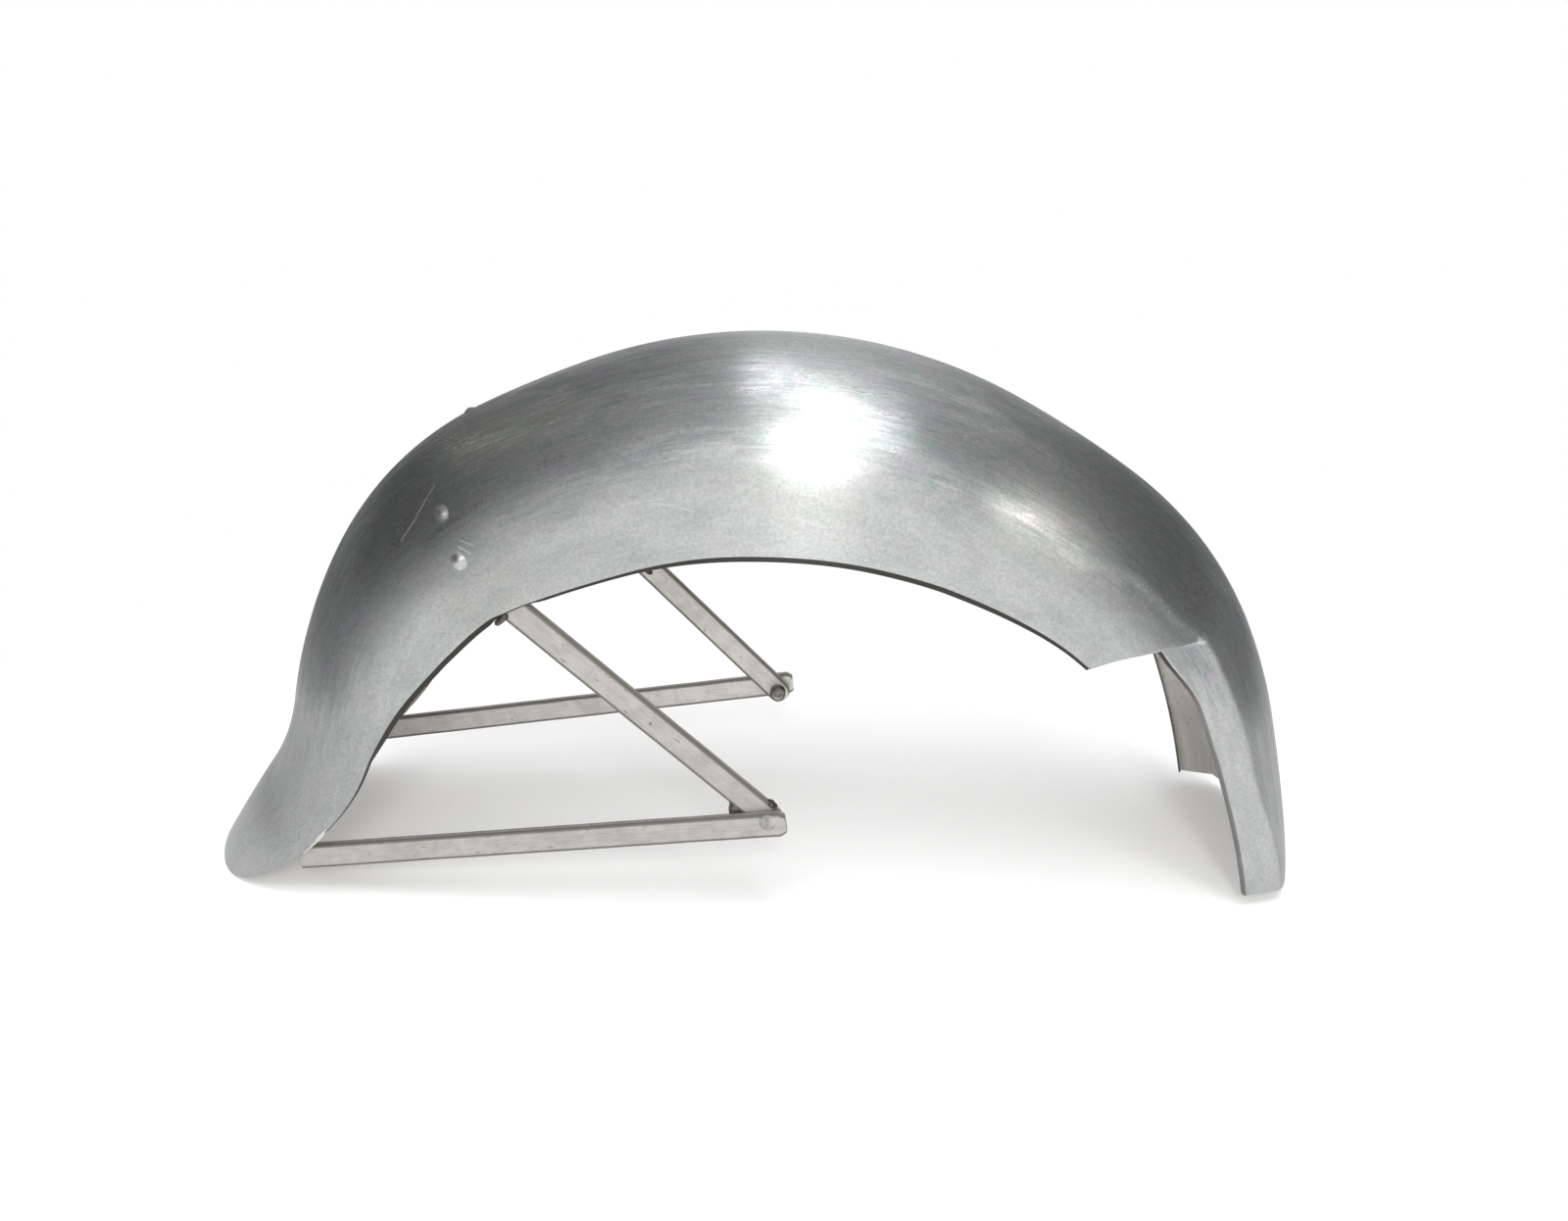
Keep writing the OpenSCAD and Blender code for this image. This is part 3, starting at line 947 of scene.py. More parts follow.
@dataclass(frozen=True)
class MillBar:
    """Bare flat bar, light and warm, with a faint scale, painted shade along its corners and thin faces, and
    a few pits.

    The near side's bars are painted darker as shade: the painted shade changes across the fender's middle, in
    metres.
    """

    name: str = "mill_bar_steel"
    light: Colour = (0.66, 0.65, 0.625)
    dark: Colour = (0.52, 0.51, 0.485)
    # Colour of the painted shade on the corners and the thin faces.
    edge: Colour = (0.12, 0.11, 0.095)
    pit: Colour = (0.13, 0.11, 0.10)
    middle: Span = (-0.05, 0.05)
    near_far_shade: Span = (0.68, 1.04)

    def make(self) -> bpy.types.Material:
        """Builds the material.

        Returns:
            The material.
        """
        s = Shader(self.name)
        drawn = s.streaks((60.0, 700.0), 4.0, 0.6)
        pits = s.spread(s.noise(s.here, 260.0, 2.0, 0.5), 0.69, 0.76, 0.0, 0.8)
        marks = s.most(pits, s.spread(s.streaks((90.0, 420.0), 1.0), 0.73, 0.79, 0.0, 0.7))
        tone = s.share(drawn, s.noise(s.here, 60.0, 5.0, 0.65, 0.5), 0.45)
        colour = s.blend(s.spread(tone, 0.36, 0.62), self.dark, self.light)
        colour = s.blend(marks, colour, self.pit)
        # Painted shade: the near side's bars are darker than the far side's.
        beside = s.node("SeparateXYZ", {0: s.here}).outputs["Y"]
        colour = s.scale(colour, s.spread(beside, *self.middle, *self.near_far_shade))
        # Painted shade along the bar's corners and thin faces.
        colour = s.blend(s.times(s.attribute("corner"), 0.92), colour, self.edge)
        normal = s.bump(drawn, 0.12, 0.0004, s.bump(marks, -0.4, 0.0004))
        return s.finish(colour, 0.35, s.spread(tone, 0.3, 0.7, 0.58, 0.42), normal)


@dataclass(frozen=True)
class TurnedSteel:
    """Small turned or formed steel parts: bushes, rivet heads, and weld beads painted near-black as shade.

    A core is a round of bare steel, in metres about the eyes' axis, at the bottom of a bush's bore, painted
    light as a highlight.
    """

    name: str
    light: Colour = (0.62, 0.615, 0.60)
    dark: Colour = (0.36, 0.35, 0.335)
    rough: Span = (0.34, 0.52)
    grain: float = 300.0
    core: float = 0.0
    core_light: Colour = (0.8, 0.79, 0.77)
    core_dark: Colour = (0.3, 0.29, 0.28)
    metal: float = 0.95

    def make(self) -> bpy.types.Material:
        """Builds the material.

        Returns:
            The material.
        """
        s = Shader(self.name)
        grain = s.noise(s.here, self.grain, 4.0, 0.6)
        cloud = s.noise(s.here, 90.0, 3.0, 0.5, 0.4)
        tone = s.share(grain, cloud, 0.4)
        colour = s.blend(s.spread(tone, 0.36, 0.64), self.dark, self.light)
        metal: object = self.metal
        # Painted highlight: the bore's core of bare steel is light and less metallic.
        if self.core:
            from_axis = s.mapping(s.here, (1, 0, 1), (-EYE_X * MM, 0, -EYE_Z * MM))
            core = s.spread(s.length(from_axis), self.core * 0.8, self.core, 1.0, 0.0)
            bare = s.blend(s.spread(cloud, 0.4, 0.6), self.core_dark, self.core_light)
            colour = s.blend(core, colour, bare)
            metal = s.minus(self.metal, s.times(core, 0.7))
        rough = s.spread(tone, 0.3, 0.7, self.rough[1], self.rough[0])
        return s.finish(colour, metal, rough, s.bump(grain, 0.2, 0.0003, s.bump(cloud, 0.25, 0.0008)))


@dataclass(frozen=True)
class Finishes:
    """All the finishes of the fender."""

    sheet: bpy.types.Material
    inside: bpy.types.Material
    cut: bpy.types.Material
    bar: bpy.types.Material
    bush: bpy.types.Material
    plug: bpy.types.Material
    rivet: bpy.types.Material
    weld: bpy.types.Material

    @classmethod
    def make(cls) -> Finishes:
        """Builds every finish once.

        Returns:
            The finishes.
        """
        return cls(
            sheet=BrushedSheet().make(),
            inside=MillSkin().make(),
            cut=ShearedEdge().make(),
            bar=MillBar().make(),
            bush=TurnedSteel(
                "turned_bush_steel", (0.26, 0.245, 0.235), (0.11, 0.10, 0.09), core=0.0042,
            ).make(),
            plug=TurnedSteel("dressed_plug_steel", (0.5, 0.5, 0.48), (0.3, 0.3, 0.285), (0.45, 0.6)).make(),
            rivet=TurnedSteel("rivet_head_steel", (0.56, 0.57, 0.56), (0.38, 0.39, 0.39), (0.3, 0.44)).make(),
            # The weld beads' near-black colour is painted shade.
            weld=TurnedSteel(
                "weld_bead_shade", (0.17, 0.16, 0.155), (0.05, 0.047, 0.044), (0.4, 0.6), 500.0,
            ).make(),
        )


# The blade


@dataclass
class Blade:
    """The pressed sheet: crown, skirts, lip, tongue, step and tail in one piece.

    A wave of its skin has two lengths, a seed and its part. The riveted place has a run, half a width
    and an ease.
    """

    shape: BladeShape
    finishes: Finishes
    rows_tongue: int = 56
    rows_step: int = 3
    rows_main: int = 206
    cols_in: int = 15
    cols_fold: int = 8
    cols_out: int = 22
    cols_lip: int = 5
    tail_pack: float = 0.35
    lip_pace: float = 1.25
    lip_step: float = 0.9
    ripple: float = 0.45
    waves: tuple[tuple[float, float, float, float], ...] = ((95, 60, 3.7, 0.65), (38, 30, 9.1, 0.35))
    riveted: tuple[float, float, float] = (800.0, 30.0, 60.0)
    soft_edge: float = 0.25
    soft_angle: float = 50.0
    sharp_deg: float = 42.0

    def __post_init__(self) -> None:
        """Works out each row's run, its share of the tongue and its edge."""
        shape = self.shape
        self._rows: list[tuple[float, float]] = []
        for i in range(self.rows_tongue + 1):
            self._rows.append((shape.cut_run * i / self.rows_tongue, 1.0))
        for i in range(1, self.rows_step + 1):
            f = i / (self.rows_step + 1)
            self._rows.append((shape.cut_run + shape.step_w * f, 1.0 - smooth(f)))
        start = shape.cut_run + shape.step_w
        for i in range(self.rows_main + 1):
            self._rows.append((start + (shape.crown.run - start) * i / self.rows_main, 0.0))
        self._half = self.cols_in + self.cols_out
        self._edges = [self._edge(s, share) for s, share in self._rows]

    def _edge_on(self, s: float, on_tongue: bool) -> tuple[float, float]:
        """Edge angle and edge run of a row that is wholly on the tongue or wholly behind it.

        Args:
            s: Run of the row.
            on_tongue: Whether it is on the tongue.

        Returns:
            The angle and the run.
        """
        shape = self.shape
        if on_tongue:
            return shape.fold_u + (shape.flank_depth(s) - shape.fold_depth(s)) / shape.flank_k, s
        if s < shape.tail_from:
            f = clamp((s - shape.cut_run) / shape.shear_run)
            e = s + shape.cut_lean * (shape.skirt_front - shape.fold_h0) * (1 - f) ** 2
            return shape.dome_angle(shape.skirt_depth(e)), e
        t = (s - shape.tail_from) / (shape.crown.run - shape.tail_from)
        packed = (1 + self.tail_pack) * t - self.tail_pack * t * t
        e = shape.tail_from + (shape.corner_run - shape.tail_from) * packed
        return shape.dome_angle(shape.skirt_depth(e)), e

    def _edge(self, s: float, share: float) -> tuple[float, float]:
        """Edge angle and edge run of a row.

        Args:
            s: Run of the row.
            share: 1 on the tongue, 0 behind its step.

        Returns:
            The angle and the run.
        """
        front, back = self._edge_on(s, True), self._edge_on(s, False)
        if share >= 1:
            return front
        return (mix(back[0], front[0], share), mix(back[1], front[1], share)) if share > 0 else back

    def _angle(self, i: int, j: int) -> float:
        """Section angle of a column in a row.

        Args:
            i: Number of the row.
            j: Number of the column from the crown.

        Returns:
            The angle in degrees.
        """
        edge, share = self._edges[i][0], self._rows[i][1]
        inner = min(self.shape.inner_u, self.shape.inner_share * edge)
        if j <= self.cols_in:
            return inner * j / self.cols_in
        past = j - self.cols_in
        plain = mix(inner, edge, min(1.0, past / self.cols_out))
        fold = self.shape.fold_u
        if past <= self.cols_fold:
            held = mix(inner, fold, past / self.cols_fold)
        else:
            held = mix(fold, edge, min(1.0, (past - self.cols_fold) / (self.cols_out - self.cols_fold)))
        return mix(plain, held, share)

    def _run(self, i: int, u: float, depth: float) -> float:
        """Run of a point, with the level foot, the leaning cut and the round tail.

        Args:
            i: Number of the row.
            u: Section angle of the point.
            depth: Its depth below the crown.

        Returns:
            The run along the crown.
        """
        shape = self.shape
        s, share = self._rows[i]
        past = max(0.0, depth - shape.fold_h0)
        lean = shape.cut_lean * past
        if share >= 1:
            level = math.tan(math.radians(shape.crown.heading - 90)) * depth - shape.foot_drop
            level -= shape.foot_round * (1 - min(1.0, u / shape.fold_u) ** 2)
            return (
                s + level * (1 - smooth(s / shape.level_run))
                + lean * smooth((s - shape.level_run) / (shape.cut_run - shape.level_run))
            )
        if s < shape.tail_from:
            f = clamp((s - shape.cut_run) / shape.shear_run)
            return s + lean * (1 - f) ** 2
        edge = self._edges[i]
        return s + (edge[1] - s) * (u / edge[0]) ** shape.tail_power

    def _lip(self, i: int, j: int, side: int) -> tuple[float, float]:
        """Side and depth of the turned lip, counted from the edge of the sheet.

        Args:
            i: Number of the row.
            j: Number of the column from the crown.
            side: -1 on the near side, 1 on the far side.

        Returns:
            How far inwards, below 0, and how far down.
        """
        if j <= self._half:
            return 0.0, 0.0
        shape = self.shape
        share = 1.0 if self._rows[i][1] > 0 else shape.lip_share(self._edges[i][1], side)
        radius, width = shape.lip_radius * share, shape.lip_w * share
        step = self.lip_pace * (j - self._half) / self.cols_lip
        turn = 90 * min(1.0, step)
        flat = max(0.0, step - 1) / (self.lip_pace - 1) * (width - radius)
        return -radius * (1 - cos_d(turn)) - flat, radius * sin_d(turn)

    def _sunk(self, s: float, v: float) -> float:
        """How far hand finishing has sunk the skin at a place, less where the stays are riveted.

        Args:
            s: Run along the crown.
            v: Way round the section, below 0 on the near side.

        Returns:
            The depth of the wave.
        """
        wave = sum(
            noise.noise(Vector((s / long, v / wide, seed))) * part for long, wide, seed, part in self.waves
        )
        middle, flat, ease = self.riveted
        calm = smooth((abs(s - middle) - flat) / ease)
        return self.ripple * (0.5 + 0.5 * wave) * (0.2 + 0.8 * calm)

    def _place(self, i: int, k: int) -> Point:
        """The point of a row and a column, in millimetres.

        Args:
            i: Number of the row.
            k: Number of the column, below 0 on the near side.

        Returns:
            The point.
        """
        shape = self.shape
        j, side = abs(k), -1 if k < 0 else 1
        u = self._angle(i, min(j, self._half))
        share = self._rows[i][1]
        y, depth = shape.section(u, self._rows[i][0], share)
        s = self._run(i, u, depth)
        a = min(u, 90)
        sunk = self._sunk(s, u * shape.dome_k * side)
        lip_y, lip_d = self._lip(i, j, side)
        y += lip_y - sunk * sin_d(a)
        return shape.skin(s, side * y, depth + lip_d + sunk * cos_d(a))

    def _pattern(self, i: int, k: int) -> tuple[float, float]:
        """Run and way round the section, in metres.

        Args:
            i: Number of the row.
            k: Number of the column, below 0 on the near side.

        Returns:
            The two values of the pattern map.
        """
        j, side = abs(k), -1 if k < 0 else 1
        u = self._angle(i, min(j, self._half))
        depth = self.shape.section(u, *self._rows[i])[1]
        s = self._run(i, u, depth)
        past = max(0, j - self._half) * self.lip_step
        return s * MM, side * (u * self.shape.dome_k + past) * MM

    def build(self) -> bpy.types.Object:
        """Builds and dresses the sheet.

        Returns:
            The piece.
        """
        width = self._half + self.cols_lip
        bm, spots = grid_mesh(
            len(self._rows), 2 * width + 1,
            lambda i, j: self._place(i, j - width), lambda i, j: self._pattern(i, j - width),
        )
        rim = bm.verts.layers.float.new("edge_gap")
        for vert in bm.verts:
            i, k = spots[vert.index]
            j = abs(k - width)
            gap = (self._edges[i][0] - self._angle(i, min(j, self._half))) * self.shape.dome_k
            vert[rim] = (gap - self.lip_step * max(0, j - self._half)) * MM
        bm.faces.ensure_lookup_table()
        bm.normal_update()
        top = max(bm.faces, key=lambda face: face.calc_center_median().z)
        if top.normal.z < 0:
            bmesh.ops.reverse_faces(bm, faces=bm.faces)
        finish = self.finishes
        piece = to_object(bm, "fender_blade", (finish.sheet, finish.cut, finish.inside))
        wall = piece.modifiers.new("wall", "SOLIDIFY")
        wall.thickness = self.shape.sheet * MM
        wall.offset = -1.0
        wall.material_offset = 2
        wall.material_offset_rim = 1
        soft = piece.modifiers.new("soft_edge", "BEVEL")
        soft.width = self.soft_edge * MM
        soft.segments = 2
        soft.limit_method = "ANGLE"
        soft.angle_limit = math.radians(self.soft_angle)
        settle(piece, self.sharp_deg)
        attach(piece, ["blade"])
        return piece


# The stays


@dataclass(frozen=True)
class BarSection:
    """Flat bar with rounded corners."""

    width: float = 18.6
    thick: float = 5.0
    corner: float = 1.1
    corner_steps: int = 5
    # How much painted shade the thin faces and the points beside the corners take.
    thin_shade: float = 0.42
    corner_shade: float = 0.85
    face_shares: tuple[float, ...] = (0.045, 0.09, 0.3, 0.5, 0.7, 0.91, 0.955)

    def ring(self) -> list[tuple[float, float, float]]:
        """Points round the bar: along its width, along its thickness, and how much painted shade, 1 on a
        corner.

        Returns:
            The points, in order.
        """
        w, t, r = self.width / 2, self.thick / 2, self.corner
        points: list[tuple[float, float, float]] = []
        x, y = w - r, t - r
        centres = ((x, y, 0), (-x, y, 90), (-x, -y, 180), (x, -y, 270))
        for number, (cx, cy, start) in enumerate(centres):
            for k in range(self.corner_steps + 1):
                a = start + 90 * k / self.corner_steps
                points.append((cx + r * cos_d(a), cy + r * sin_d(a), 1.0))
            nx, ny, _ = centres[(number + 1) % 4]
            after = start + 90
            x0, y0 = cx + r * cos_d(after), cy + r * sin_d(after)
            x1, y1 = nx + r * cos_d(after), ny + r * sin_d(after)
            for k, f in enumerate(self.face_shares):
                dark = self.corner_shade if k in (0, len(self.face_shares) - 1) else 0.0
                points.append((mix(x0, x1, f), mix(y0, y1, f), self.thin_shade if number % 2 else dark))
        return points


@dataclass(frozen=True)
class BarStation:
    """Where a bar's section stands: its middle, its width way and its thickness way.

    It is narrowed by a factor, and its skin is drawn in by an inset where an end is rounded.
    """

    middle: Vector
    across: Vector
    out: Vector
    wide: float = 1.0
    inset: float = 0.0


def sweep_bar(section: BarSection, stations: Sequence[BarStation], uneven: float) -> bmesh.types.BMesh:
    """Sweeps a flat bar through its stations and closes it.

    Args:
        section: The bar's section.
        stations: Where the section stands, in order.
        uneven: How much the faces wander, in millimetres.

    Returns:
        The closed bar, with the painted shade of its corners marked.
    """
    ring = section.ring()
    count = len(ring)
    runs, around = [0.0], [0.0]
    for a, b in zip(stations, stations[1:]):
        runs.append(runs[-1] + (b.middle - a.middle).length)
    for k in range(count):
        p, q = ring[k], ring[(k + 1) % count]
        around.append(around[-1] + math.hypot(q[0] - p[0], q[1] - p[1]))

    def place(i: int, j: int) -> Point:
        """A point of the bar's skin.

        Args:
            i: Number of the station.
            j: Number of the point on the ring.

        Returns:
            The point, in millimetres.
        """
        at = stations[i]
        x, y, _ = ring[j % count]
        x *= at.wide
        x -= math.copysign(min(at.inset, abs(x)), x)
        y -= math.copysign(min(at.inset, abs(y)), y)
        base = at.middle + at.across * x + at.out * y
        drift = noise.noise(base / 24) * uneven
        return tuple(base + at.across * drift * math.copysign(1, x) * 0.5)

    bm, spots = grid_mesh(
        len(stations), count + 1, place, lambda i, j: (runs[i] * MM, around[j] * MM),
    )
    corner = bm.verts.layers.float.new("corner")
    for vert in bm.verts:
        vert[corner] = ring[spots[vert.index][1] % count][2]
    close_tube(bm)
    return bm


def ends_of(run: float, step: float, round_end: float, trimmed: float) -> list[tuple[float, float]]:
    """Places along a straight bar, with an inset that rounds its ends.

    Args:
        run: Length of the bar.
        step: Distance between its places.
        round_end: How far the ends are rounded.
        trimmed: Where the trimmed corners of the far end begin, before it.

    Returns:
        Each place along the bar with its inset.
    """
    inner = max(2, round(run / step))
    last = run - trimmed - round_end
    eased = round_end * 0.3
    places = [(0.0, round_end), (eased, eased), (round_end, 0.0)]
    places += [(mix(round_end, last, k / inner), 0.0) for k in range(1, inner + 1)]
    places += [(run - trimmed, 0.0), (run - trimmed / 2, 0.0)]
    return places + [(run - round_end, 0.0), (run - eased, eased), (run, round_end)]


class Side(Enum):
    """The two sides of the fender."""

    NEAR = -1
    FAR = 1


@dataclass(frozen=True)
class LowerStay:
    """A flat bar from an eye back to the inside of the tail, with trimmed corners past the eye."""

    side: Side
    slope: float
    lift: float
    end_y: float
    run: float = 335.0
    past: float = 12.0
    eye_y: float = 98.4
    step: float = 7.0
    end_round: float = 0.7
    trimmed: float = 4.5
    trim: float = 0.30
    uneven: float = 0.35

    def frame_of(self) -> Matrix:
        """Matrix of the bar: X along it toward the eye, Y inwards from its outer face, Z up.

        Returns:
            The matrix, in millimetres.
        """
        sign = self.side.value
        swing = math.atan((self.eye_y - self.end_y) / self.run)
        flip = Matrix.Diagonal((1, -sign, 1, 1))
        return (
            Matrix.Translation((EYE_X, 0, EYE_Z)) @ flip
            @ Matrix.Translation((0, -self.eye_y, self.lift))
            @ Matrix.Rotation(math.radians(-self.slope), 4, "Y")
            @ Matrix.Rotation(-swing, 4, "Z")
            @ Matrix.Translation((-self.run, 0, 0))
        )

    def build(self, section: BarSection, finishes: Finishes) -> bpy.types.Object:
        """Builds and dresses the bar.

        Args:
            section: The section of all the bars.
            finishes: All the finishes.

        Returns:
            The piece.
        """
        place = self.frame_of()
        turn = place.to_3x3()
        across, out = turn @ Vector((0, 0, 1)), turn @ Vector((0, -1, 0))
        length = self.run + self.past
        stations = []
        for x, inset in ends_of(length, self.step, self.end_round, self.trimmed):
            narrow = 1 - self.trim * clamp((x - length + self.trimmed) / self.trimmed)
            stations.append(BarStation(place @ Vector((x, section.thick / 2, 0)), across, out, narrow, inset))
        bm = sweep_bar(section, stations, self.uneven)
        side = self.side.name.lower()
        piece = to_object(bm, f"lower_bar_{side}", (finishes.bar,))
        settle(piece, SHARP_DEG)
        attach(piece, [f"lower_stay_{side}"])
        return piece


@dataclass(frozen=True)
class HoopStay:
    """One flat bar bent across the inside of the crown, with a leg down to each eye."""

    shape: BladeShape
    run: float = 787.0
    leans: Span = (30.0, 2.0)
    leave: float = 95.0
    ease: float = 0.15
    layer_y: float = 93.4
    past: float = 12.0
    past_share: float = 0.8
    end_round: float = 9.3
    end_insets: tuple[float, float, float] = (0.45, 0.15, 0.0)
    tip_wide: float = 0.12
    tip_gap: float = 0.02
    uneven: float = 0.3
    hoop_steps: int = 60
    leg_steps: int = 30

    def crown_run(self, u: float) -> float:
        """Run along the crown at which the hoop crosses a section angle."""
        return self.run + self.leans[0 if u < 0 else 1] * sin_d(u) ** 2

    def stations(self, section: BarSection) -> list[BarStation]:
        """Stations of the bar from the near eye over the crown to the far eye.

        Args:
            section: The section of all the bars.

        Returns:
            The stations, in order.
        """
        back = self.shape.sheet + section.thick / 2 + self.ease
        angles = [self.leave * k / self.hoop_steps for k in range(-self.hoop_steps, self.hoop_steps + 1)]
        middles = [Vector(self.shape.seat(self.crown_run(u), u, back)) for u in angles]
        faces = [self.shape.outward(self.crown_run(u), u) for u in angles]

        def leg(side: int) -> list[tuple[Vector, Vector]]:
            """Middles and face directions of a leg, from its seat to its eye.

            Args:
                side: -1 on the near side, 1 on the far side.

            Returns:
                The places, in order.
            """
            start = middles[0] if side < 0 else middles[-1]
            face = faces[0] if side < 0 else faces[-1]
            eye = Vector((EYE_X, side * (self.layer_y - section.thick / 2), EYE_Z))
            flat = Vector((start.x - EYE_X, 0, start.z - EYE_Z)).normalized()
            end = eye - flat * self.past * self.past_share
            length = (end - start).length
            straight = length - self.end_round
            marks = [straight * k / self.leg_steps for k in range(1, self.leg_steps + 1)]
            marks += [straight + self.end_round * sin_d(a) for a in range(8, 81, 8)] + [length - self.tip_gap]
            return [(start.lerp(end, m / length), face) for m in marks]

        near, far = leg(-1), leg(1)
        line = list(reversed(near)) + list(zip(middles, faces)) + far
        made = []
        for k, (middle, face) in enumerate(line):
            ahead = line[min(k + 1, len(line) - 1)][0] - line[max(k - 1, 0)][0]
            ahead.normalize()
            out = (face - ahead * face.dot(ahead)).normalized()
            tip = min((middle - line[0][0]).length, (middle - line[-1][0]).length)
            back = max(0.0, self.end_round - tip) / self.end_round
            wide = max(self.tip_wide, math.sqrt(max(0.0, 1 - back * back)))
            end = min(k, len(line) - 1 - k)
            made.append(BarStation(middle, ahead.cross(out), out, wide, self.end_insets[min(end, 2)]))
        return made

    def build(self, section: BarSection, finishes: Finishes) -> bpy.types.Object:
        """Builds and dresses the hoop.

        Args:
            section: The section of all the bars.
            finishes: All the finishes.

        Returns:
            The piece.
        """
        bm = sweep_bar(section, self.stations(section), self.uneven)
        piece = to_object(bm, "upper_hoop_bar", (finishes.bar,))
        settle(piece, SHARP_DEG)
        attach(piece, ["stay_hoop"])
        return piece


# Eyes, rivets, and welds painted as shade


def turned(profile: Sequence[tuple[float, float]], steps: int) -> bmesh.types.BMesh:
    """Turns a profile of radius and height, in millimetres, about Z into a closed solid.

    Args:
        profile: The profile, from the axis out and back to it.
        steps: Number of sides.

    Returns:
        The solid.
    """
    bm = bmesh.new()
    verts = [bm.verts.new((r * MM, 0, z * MM)) for r, z in profile]
    edges = [bm.edges.new(pair) for pair in zip(verts, verts[1:])]
    bmesh.ops.spin(
        bm, geom=verts + edges, cent=(0, 0, 0), axis=(0, 0, 1), angle=math.tau,
        steps=steps, use_merge=True, use_duplicate=False,
    )
    bmesh.ops.remove_doubles(bm, verts=bm.verts, dist=MERGE)
    bmesh.ops.recalc_face_normals(bm, faces=bm.faces)
    return bm


@dataclass(frozen=True)
class EyeBush:
    """A round plug through the ends of both bars, with a blind bore from the inside."""

    side: Side
    radius: float = 6.2
    inner_y: float = 81.0
    outer_y: float = 98.4
    bore: float = 3.2
    floor: float = 3.0
    steps: int = 48
    sharp_deg: float = 35.0

    def build(self, finishes: Finishes) -> bpy.types.Object:
        """Builds and dresses the bush.

        Args:
            finishes: All the finishes.

        Returns:
            The piece.
        """
        length = self.outer_y - self.inner_y
        r, b = self.radius, self.bore
        profile = [
            (0.0, length - self.floor), (b, length - self.floor), (b, 0.5), (b + 0.5, 0.0),
            (r - 0.9, 0.0), (r - 0.3, 0.25), (r, 0.9), (r, length - 0.6),
            (r - 0.15, length - 0.1), (r - 0.6, length + 0.22), (r - 1.5, length + 0.3),
            (r - 2.1, length + 0.12), (r - 3.2, length + 0.05), (0.0, length + 0.1),
        ]
        bm = turned(profile, self.steps)
        sign = self.side.value
        turn = Matrix.Rotation(math.radians(-90 * sign), 4, "X")
        at = Matrix.Translation(Vector((EYE_X, sign * self.inner_y, EYE_Z)) * MM)
        bmesh.ops.transform(bm, matrix=at @ turn, verts=bm.verts)
        side = self.side.name.lower()
        finish = finishes.bush if self.side is Side.FAR else finishes.plug
        piece = to_object(bm, f"eye_plug_{side}", (finish,))
        settle(piece, self.sharp_deg)
        attach(piece, [f"eye_bush_{side}"])
        return piece


@dataclass(frozen=True)
class RivetRow:
    """The domed rivets that hold the hoop to the crown."""

    hoop: HoopStay
    angles: tuple[float, ...] = (-81.0, -59.0, 0.0, 59.0, 81.0)
    near_back: float = 3.0
    swell_r: float = 6.2
    head_h: float = 1.35
    crown_h: float = 2.0
    shank_r: float = 2.4
    tail_more: float = 1.2
    bar_thick: float = 5.0
    sunk: float = 0.25
    under: float = 0.6
    dome_steps: int = 14
    steps: int = 40

    def build(self, finishes: Finishes) -> bpy.types.Object:
        """Builds and dresses all the rivets as one piece.

        Args:
            finishes: All the finishes.

        Returns:
            The piece.
        """
        shape = self.hoop.shape
        grip = shape.sheet + self.bar_thick + self.hoop.ease
        tail_r = self.shank_r + self.tail_more
        shank = [
            (0.0, -grip - 1.0), (tail_r - 0.4, -grip - 0.95), (tail_r, -grip - 0.5), (tail_r, -grip + 0.1),
            (self.shank_r, -grip + 0.1), (self.shank_r, -self.under), (self.swell_r, -self.under),
        ]
        shares = [1 - k / self.dome_steps for k in range(self.dome_steps + 1)]
        bm = bmesh.new()
        for u in self.angles:
            s = self.hoop.crown_run(u) + (self.near_back if u < 0 else 0.0)
            high = (self.head_h if u else self.crown_h) + self.sunk
            head = [(self.swell_r * f, high * (1 - smooth(f)) - self.sunk) for f in shares]
            one = turned(shank + head, self.steps)
            turn = shape.outward(s, u).to_track_quat("Z", "Y").to_matrix().to_4x4()
            at = Matrix.Translation(Vector(shape.seat(s, u, 0.0)) * MM)
            bmesh.ops.transform(one, matrix=at @ turn, verts=one.verts)
            mesh = bpy.data.meshes.new("rivet_part")
            one.to_mesh(mesh)
            one.free()
            bm.from_mesh(mesh)
            bpy.data.meshes.remove(mesh)
        piece = to_object(bm, "hoop_rivets", (finishes.rivet,))
        settle(piece, SHARP_DEG)
        attach(piece, ["rivets"])
        return piece


@dataclass(frozen=True)
class ShadeWeldBead:
    """A small rough bead of weld, painted near-black as shade in a corner between parts.

    It has a middle, half sizes, a tilt about Y, how square it is, and lumps by height and closeness.
    """

    name: str
    at: Point
    half: Point
    tilt: float = 0.0
    square: float = 0.3
    square_least: float = 0.3
    lumps: tuple[Span, ...] = ((0.22, 1.7), (0.06, 6.0))
    sharp_deg: float = 60.0

    def build(self, finishes: Finishes) -> bpy.types.Object:
        """Builds and dresses the bead.

        Args:
            finishes: All the finishes.

        Returns:
            The piece.
        """
        bm = bmesh.new()
        bmesh.ops.create_icosphere(bm, subdivisions=4, radius=1.0)
        turn = Matrix.Rotation(math.radians(self.tilt), 4, "Y")
        at = Vector(self.at)
        for vert in bm.verts:
            way = vert.co.normalized()
            lump = 1 + sum(high * noise.noise(way * often + at) for high, often in self.lumps)
            size = lump / max(self.square_least, abs(way.x), abs(way.z)) ** self.square
            vert.co = (at + turn @ Vector(way[k] * size * self.half[k] for k in range(3))) * MM
        piece = to_object(bm, self.name, (finishes.weld,))
        settle(piece, self.sharp_deg)
        attach(piece)
        return piece


# Studio


@dataclass(frozen=True)
class Lobe:
    """A soft grey patch of the room that only mirrors show, between two cosines round a direction."""

    way: Point
    start: float
    end: float
    amount: float
    grey: float


